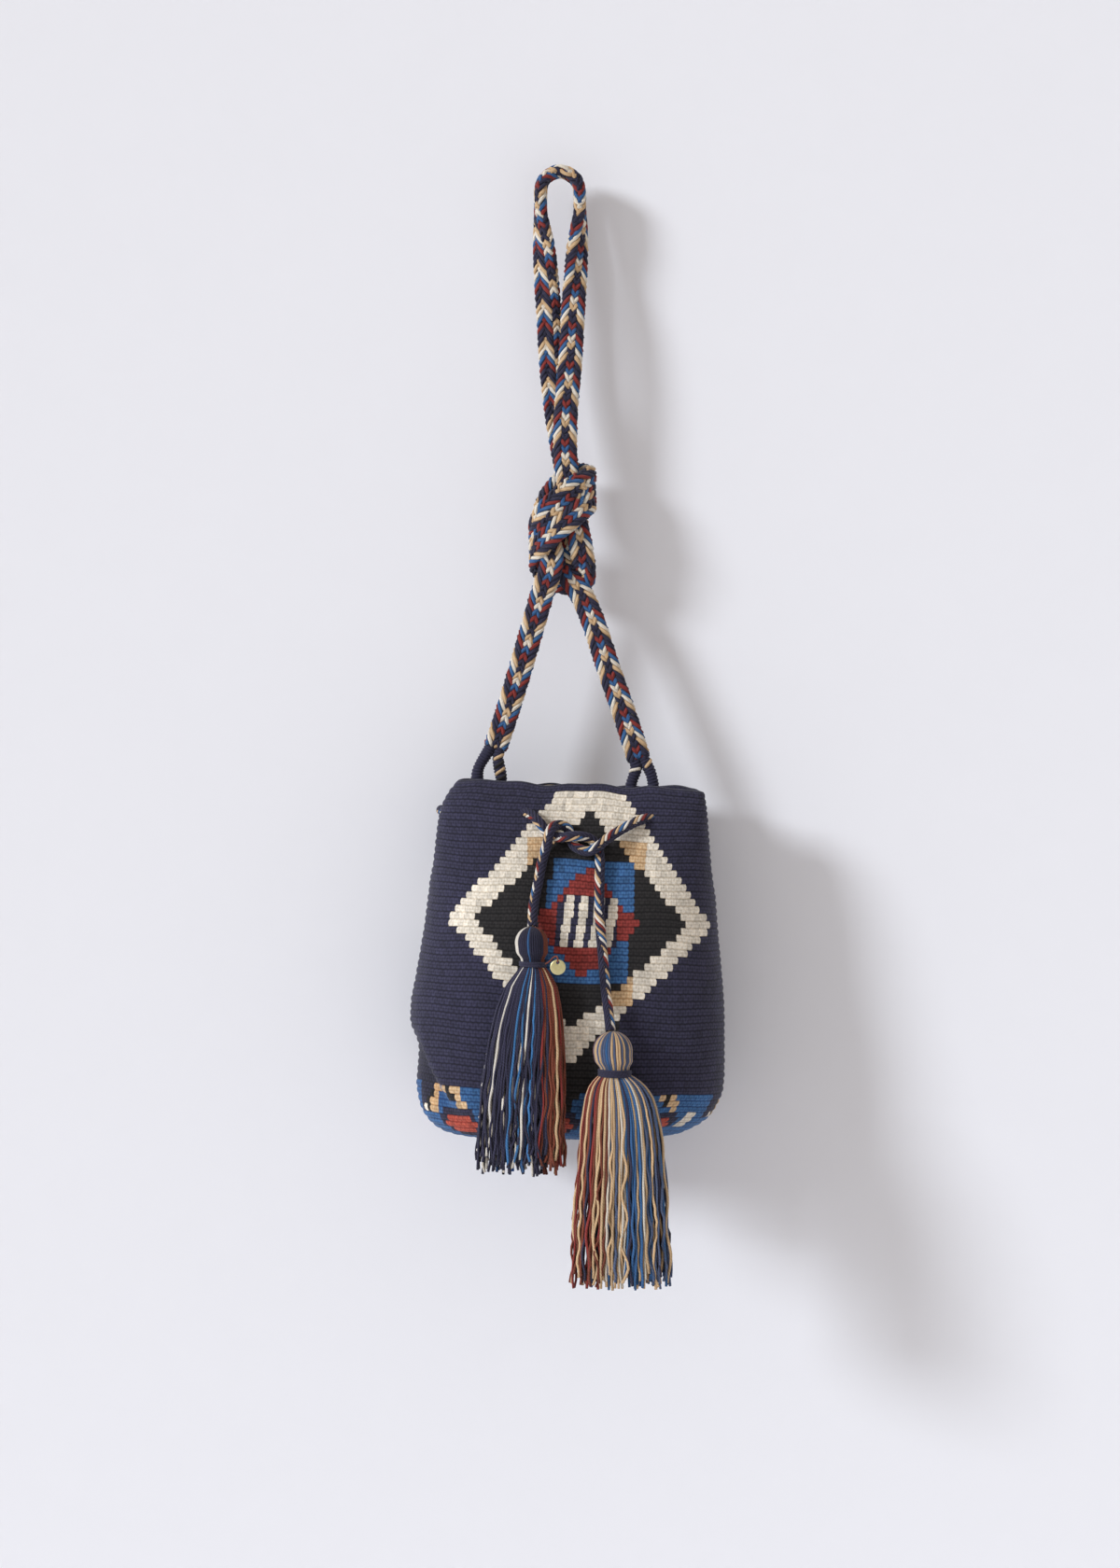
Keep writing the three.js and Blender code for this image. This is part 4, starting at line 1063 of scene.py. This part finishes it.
def skirt_tubes(node, tassel, layers=((74, 1.0), (58, 0.86), (34, 0.6)), stations=34, radius=0.9):
    """Hanging yarns in layers, the outer first: each goes down the skirt's own widths at its turn and
    depth, wandering a little more the lower it hangs, and ends at its own length."""
    rows = np.array(tassel["skirt"], float)
    turn = np.concatenate([even_turns(n, rows[-1, 1], rows[-1, 2]) for n, _ in layers])
    layer = np.concatenate([np.full(n, share) for n, share in layers])
    count = len(turn)
    layer_in = layer * random.uniform(0.95, 1.0, count)
    length = rows[-1, 0] * random.uniform(0.93, 1.01, count)
    length = length * np.where((layer < 0.9) & (node == "left_tassel"), 1.03, 1.0)
    drop = (np.linspace(0, 1, stations)[None] ** 1.15) * length[:, None]
    wide, deep, shift = (np.interp(drop, rows[:, 0], rows[:, k]) for k in (1, 2, 3))
    fall = drop / rows[-1, 0]
    sway = random.uniform(0, TAU, (3, count, 1))
    pace = random.uniform(26, 80, (3, count, 1))
    size = WAVER * random.uniform(0.1, 1.0, (3, count, 1)) ** 2
    small = 0.5 * size[1] * np.sin(TAU * drop / (0.4 * pace[2]) + sway[2])
    waver_x = fall * (size[0] * np.sin(TAU * drop / pace[0] + sway[0]) + small)
    waver_y = fall * 0.8 * size[2] * np.sin(TAU * drop / pace[1] + sway[1])
    head = tassel["head"]
    x = (wide - radius - 0.8 * fall) * layer_in[:, None] * np.cos(turn)[:, None] + waver_x
    x = np.clip(x, radius - wide, wide - radius) + head[0] + tassel["neck_shift"] + shift
    y = head[1] + (deep - radius) * layer_in[:, None] * np.sin(turn)[:, None] + waver_y
    z = head[2] - tassel["neck_drop"] - BINDING_HALF + SKIRT_TUCK - drop
    middle = np.stack([x, y, z], -1)
    ahead = unit(np.gradient(middle, axis=1))
    side = unit(np.cross(ahead, np.array((0.0, 1.0, 0.0))))
    third = np.cross(ahead, side)
    corner = np.arange(6) / 6 * TAU
    ring = np.cos(corner)[:, None] * side[:, :, None] + np.sin(corner)[:, None] * third[:, :, None]
    yarn_radius = radius * (0.62 + 0.38 * smooth_step(0, 18, drop)) * random.uniform(0.85, 1.1, (count, 1))
    out = unit(np.stack([np.cos(turn) * rows[-1, 2], np.sin(turn) * rows[-1, 1], 0 * turn], -1))
    # Painted shade: the sides of each yarn that face into the tassel, and the inner layers most, are darkened
    depth = 0.7 * hidden_share(ring, np.broadcast_to(out[:, None], middle.shape)) ** 1.3
    depth = np.clip(depth + 0.75 * (1 - layer)[:, None, None], 0, 0.88)
    tubes = middle[:, :, None] + ring * yarn_radius[:, :, None, None]
    across = np.cos(turn) * layer
    picks = np.mod(GOLDEN_SHARE * np.arange(count), 1)
    white_inside = (layer < 0.9) & (across < 0.3) & (random.uniform(0, 1, count) < WHITE_INSIDE)
    yarns = [
        "white" if inside and node == "left_tassel" else yarn_at(node, place, pick)
        for inside, place, pick in zip(white_inside, across, picks)
    ]
    colours = np.array([linear(yarn) for yarn in yarns])
    return tubes, colours * random.uniform(0.8, 1.22, (count, 1)), length / stations, depth


HEAD_RIDGES = 44


def head_piece(name, tassel, ridges, colour_rule):
    """A tassel's head: a ball drawn in to its neck, ribbed by the yarns that run from top to neck."""
    r, neck, drop = tassel["radius"], tassel["neck"], tassel["neck_drop"]
    tip = np.radians(np.linspace(6, 90, 14))
    level = np.concatenate([-r * np.cos(tip), [drop * 0.25, drop * 0.5, drop - BINDING_HALF, drop + 1]])
    wide = np.concatenate([r * np.sin(tip), [r * 0.975, (r + neck) / 2 + 1, neck + NECK_FLARE, neck]])
    line, _ = smooth_route(np.stack([wide, 0 * wide, level], 1), 3)
    per_ridge = 4
    turn = np.arange(ridges * per_ridge) / (ridges * per_ridge) * TAU
    rib = np.abs(np.sin(turn * ridges / 2)) ** 0.6
    depth = 0.75 * smooth_step(0.1, 0.75, line[:, 0] / r)
    radius = line[:, :1] + depth[:, None] * (rib[None] - 0.75)
    slip = tassel["neck_shift"] * smooth_step(0, drop, line[:, 2])
    head = tassel["head"]
    points = np.stack([
        head[0] + slip[:, None] + radius * np.cos(turn),
        head[1] + radius * np.sin(turn),
        np.broadcast_to(head[2] - line[:, 2:], radius.shape),
    ], -1)
    faces, row, column = grid(len(points), len(turn))
    faces = faces[:, ::-1]
    yarns = np.array([linear(colour_rule(k / ridges * TAU)) for k in range(ridges)])
    yarns = yarns * random.uniform(0.9, 1.08, (ridges, 1))
    colour = yarns[column[:, 0] // per_ridge % ridges]
    corner = np.stack([column / per_ridge, row * 1.4], -1)[:, ::-1]
    count = len(turn)
    ends = [np.arange(count), np.arange(count)[::-1] + (len(points) - 1) * count]
    # Painted shade in the grooves between the head's ribs
    mark = {"gap_shade": np.broadcast_to(0.6 * (1 - rib) ** 1.5, radius.shape).ravel()}
    return make_piece(name, points.reshape(-1, 3), faces, tassel_yarn, corner, colour, mark, ends)


def left_head_yarn(angle):
    """Rust at the head's right end, white at its left, one blue yarn and navy."""
    across = math.cos(angle)
    if across > 0.74:
        return "rust"
    if across < -0.9:
        return "white"
    return "blue" if -0.34 < across < -0.24 else "navy"


def right_head_yarn(angle):
    """Slate, blue, tan and rust in turn, by the remainders of the yarn's number."""
    step = int(angle / TAU * HEAD_RIDGES)
    return "slate" if step % 5 in (1, 3) else "blue" if step % 9 == 2 else "tan" if step % 11 else "rust"


HEAD_RULE = {"left_tassel": left_head_yarn, "right_tassel": right_head_yarn}
tassel_pieces = []
for node, tassel in TASSELS.items():
    head = head_piece(node + "_head", tassel, HEAD_RIDGES, HEAD_RULE[node])
    tubes, colours, step, depth = skirt_tubes(node, tassel)
    skirt = make_bundle(node + "_skirt", tubes, colours, tassel_yarn, step, depth)
    turns = np.linspace(0, tassel["binding_turns"] * TAU, 49 * tassel["binding_turns"])
    coil = tassel["neck"] + NECK_FLARE + BINDING_OUT
    x0, y0, z0 = tassel["head"]
    line = np.stack([
        x0 + tassel["neck_shift"] + coil * np.cos(turns),
        y0 + coil * np.sin(turns),
        z0 - tassel["neck_drop"] + BINDING_PITCH * (tassel["binding_turns"] / 2 - turns / TAU),
    ], 1)
    coil_tube = round_tube(line, BINDING_YARN, 8)
    # The binding carries a faint even painted shade
    binding = make_bundle(node + "_wraps", coil_tube[None], linear("navy")[None], wrap_yarn, 1.1, 0.1)
    slot = "tassel_yarn_navy" if node == "left_tassel" else "tassel_yarn_rust"
    pieces = ((head, node, slot), (skirt, node, slot), (binding, node + "_binding", "wrapped_yarn"))
    tassel_pieces += [head, binding]
    for piece, name, finish in pieces:
        fit(piece, node, name)

# Charm
thread_line, _ = smooth_route((
    (-9.4, -75.4, -522.2), (-6.6, -78, -520.2), (-4.2, -80.4, -517.6), (-2.2, -82.2, -516.8),
    (-1.4, -84.2, -518.4), (-1.4, -84.3, -520.4), (-1.4, -82.8, -520.8), (-1.4, -81.2, -520),
    (-1.6, -81.2, -518), (-3, -80.8, -516.6),
), 6)
thread = make_bundle(
    "charm_thread_yarn", round_tube(thread_line, 0.45, 8)[None], linear("rust")[None], cord_yarn, 0.5
)
fit(thread, "left_tassel", "charm_thread")

brass, brass_nodes, brass_shader = new_material("pale_brass", 0.34, metallic=1.0)
worn = brass_nodes.noise(700.0, 4.0, 0.6)
tint = brass_nodes.mixed(worn, (0.62, 0.54, 0.25, 1), (0.80, 0.74, 0.42, 1))
brass_nodes.set(brass_shader.inputs["Base Color"], tint)
rough = brass_nodes.plus(0.24, brass_nodes.times(worn, 0.25))
brass_nodes.set(brass_shader.inputs["Roughness"], rough)
brass_nodes.bump(brass_shader, worn, 0.2, 0.0002)


# A ring's share of the way from the disc's hole to its rim, and its place in the thickness
CHARM_SECTION = (
    (0, -0.42), (0.06, -0.5), (0.5, -0.62), (0.93, -0.5), (1, -0.35),
    (1, 0.35), (0.93, 0.5), (0.5, 0.38), (0.06, 0.5), (0, 0.42),
)
CHARM_SIDES = 48


def charm_points():
    """A domed disc round its off-centre hole: rings that go from the hole's edge to the rim and back."""
    turn = np.arange(CHARM_SIDES) / CHARM_SIDES * TAU
    hole = np.stack([np.cos(turn), 0 * turn, np.sin(turn)], 1)
    rim_ring = 5.0 * hole - (0, 0, 3.1)
    rings = [hole * (1 - share) + rim_ring * share + (0, thick, 0) for share, thick in CHARM_SECTION]
    return np.stack(rings) + (-1.4, -82.6, -520.8)


rings = charm_points()
faces, _, _ = grid(len(rings) + 1, CHARM_SIDES)
faces = np.mod(faces, rings.shape[0] * CHARM_SIDES)[:, ::-1]
charm = make_piece("charm_plate", rings.reshape(-1, 3), faces, brass)
fit(charm, "charm", "charm_disc")

# Wall, floor, light
def paint_material(name, albedo, roughness):
    """Matt paint: a slow noise mixes two near tints of the albedo."""
    material, nodes, shader = new_material(name, roughness)
    paler, darker = ((*(np.array(albedo) + change), 1) for change in (0.006, -0.006))
    nodes.set(shader.inputs["Base Color"], nodes.mixed(nodes.noise(30.0, 3.0, 0.5), darker, paler))
    return material, nodes, shader


def stage_plane(name, corners_m, material):
    """One flat face of the stage, which isn't part of the bag."""
    mesh = bpy.data.meshes.new(name)
    mesh.from_pydata(corners_m, [], [(0, 1, 2, 3)])
    mesh.materials.append(material)
    plane = bpy.data.objects.new(name, mesh)
    bpy.context.scene.collection.objects.link(plane)
    return plane


# The wall is clear from behind, so that the bag's back can be seen
wall_material, wall_nodes, wall_shader = paint_material("wall_paint", (0.83, 0.82, 0.84), 0.95)
clear = wall_nodes.add("BsdfTransparent")
from_behind = wall_nodes.add("NewGeometry").outputs["Backfacing"]
either = wall_nodes.add("MixShader", from_behind, wall_shader.outputs[0], clear.outputs[0])
wall_nodes.set(wall_material.node_tree.nodes["Material Output"].inputs["Surface"], either.outputs[0])
FLOOR_Z = -1.0


def wall_y(z):
    """The wall's distance behind the loop, in metres: it leans a little, as the bag rests against it."""
    return 0.024 - 0.050 * z


wall = stage_plane(
    "wall",
    [(-6, wall_y(FLOOR_Z), FLOOR_Z), (6, wall_y(FLOOR_Z), FLOOR_Z), (6, wall_y(4), 4), (-6, wall_y(4), 4)],
    wall_material,
)
wall.visible_shadow = False
floor_material, _, _ = paint_material("floor_paint", (0.80, 0.80, 0.81), 0.9)
floor_corners = [(-6, -6, FLOOR_Z), (6, -6, FLOOR_Z), (6, 6, FLOOR_Z), (-6, 6, FLOOR_Z)]
stage_plane("floor", floor_corners, floor_material)


def aim(light, at, target=(0, 0, -0.45)):
    """Places the light and turns it towards the target."""
    piece = bpy.data.objects.new(light.name, light)
    piece.location = at
    way = np.array(target) - np.array(at)
    piece.rotation_euler = (
        math.atan2(math.hypot(way[0], way[1]), -way[2]), 0, math.atan2(way[1], way[0]) - math.pi / 2
    )
    bpy.context.scene.collection.objects.link(piece)


key = bpy.data.lights.new("key", "SUN")
key.energy = 2.6
key.angle = 0.235
key.color = (0.86, 0.92, 1.0)
aim(key, (-5.4, -3.5, 1.88))
for name, at, power in (("back_left", (-1.6, 2.2, 0.6), 9), ("back_right", (1.8, 2.0, 0.2), 8)):
    soft_box = bpy.data.lights.new(name, "AREA")
    soft_box.energy = power
    soft_box.size = 1.4
    aim(soft_box, at)
world = bpy.data.worlds.new("studio")
bpy.context.scene.world = world
world.use_nodes = True
sky = Nodes(world.node_tree)
background = world.node_tree.nodes["Background"]
seen = sky.add("LightPath").outputs["Is Camera Ray"]
sky.set(background.inputs["Color"], sky.mixed(seen, (0.55, 0.52, 0.50, 1), (0.80, 0.80, 0.82, 1)))

bpy.context.scene.view_settings.view_transform = "Standard"
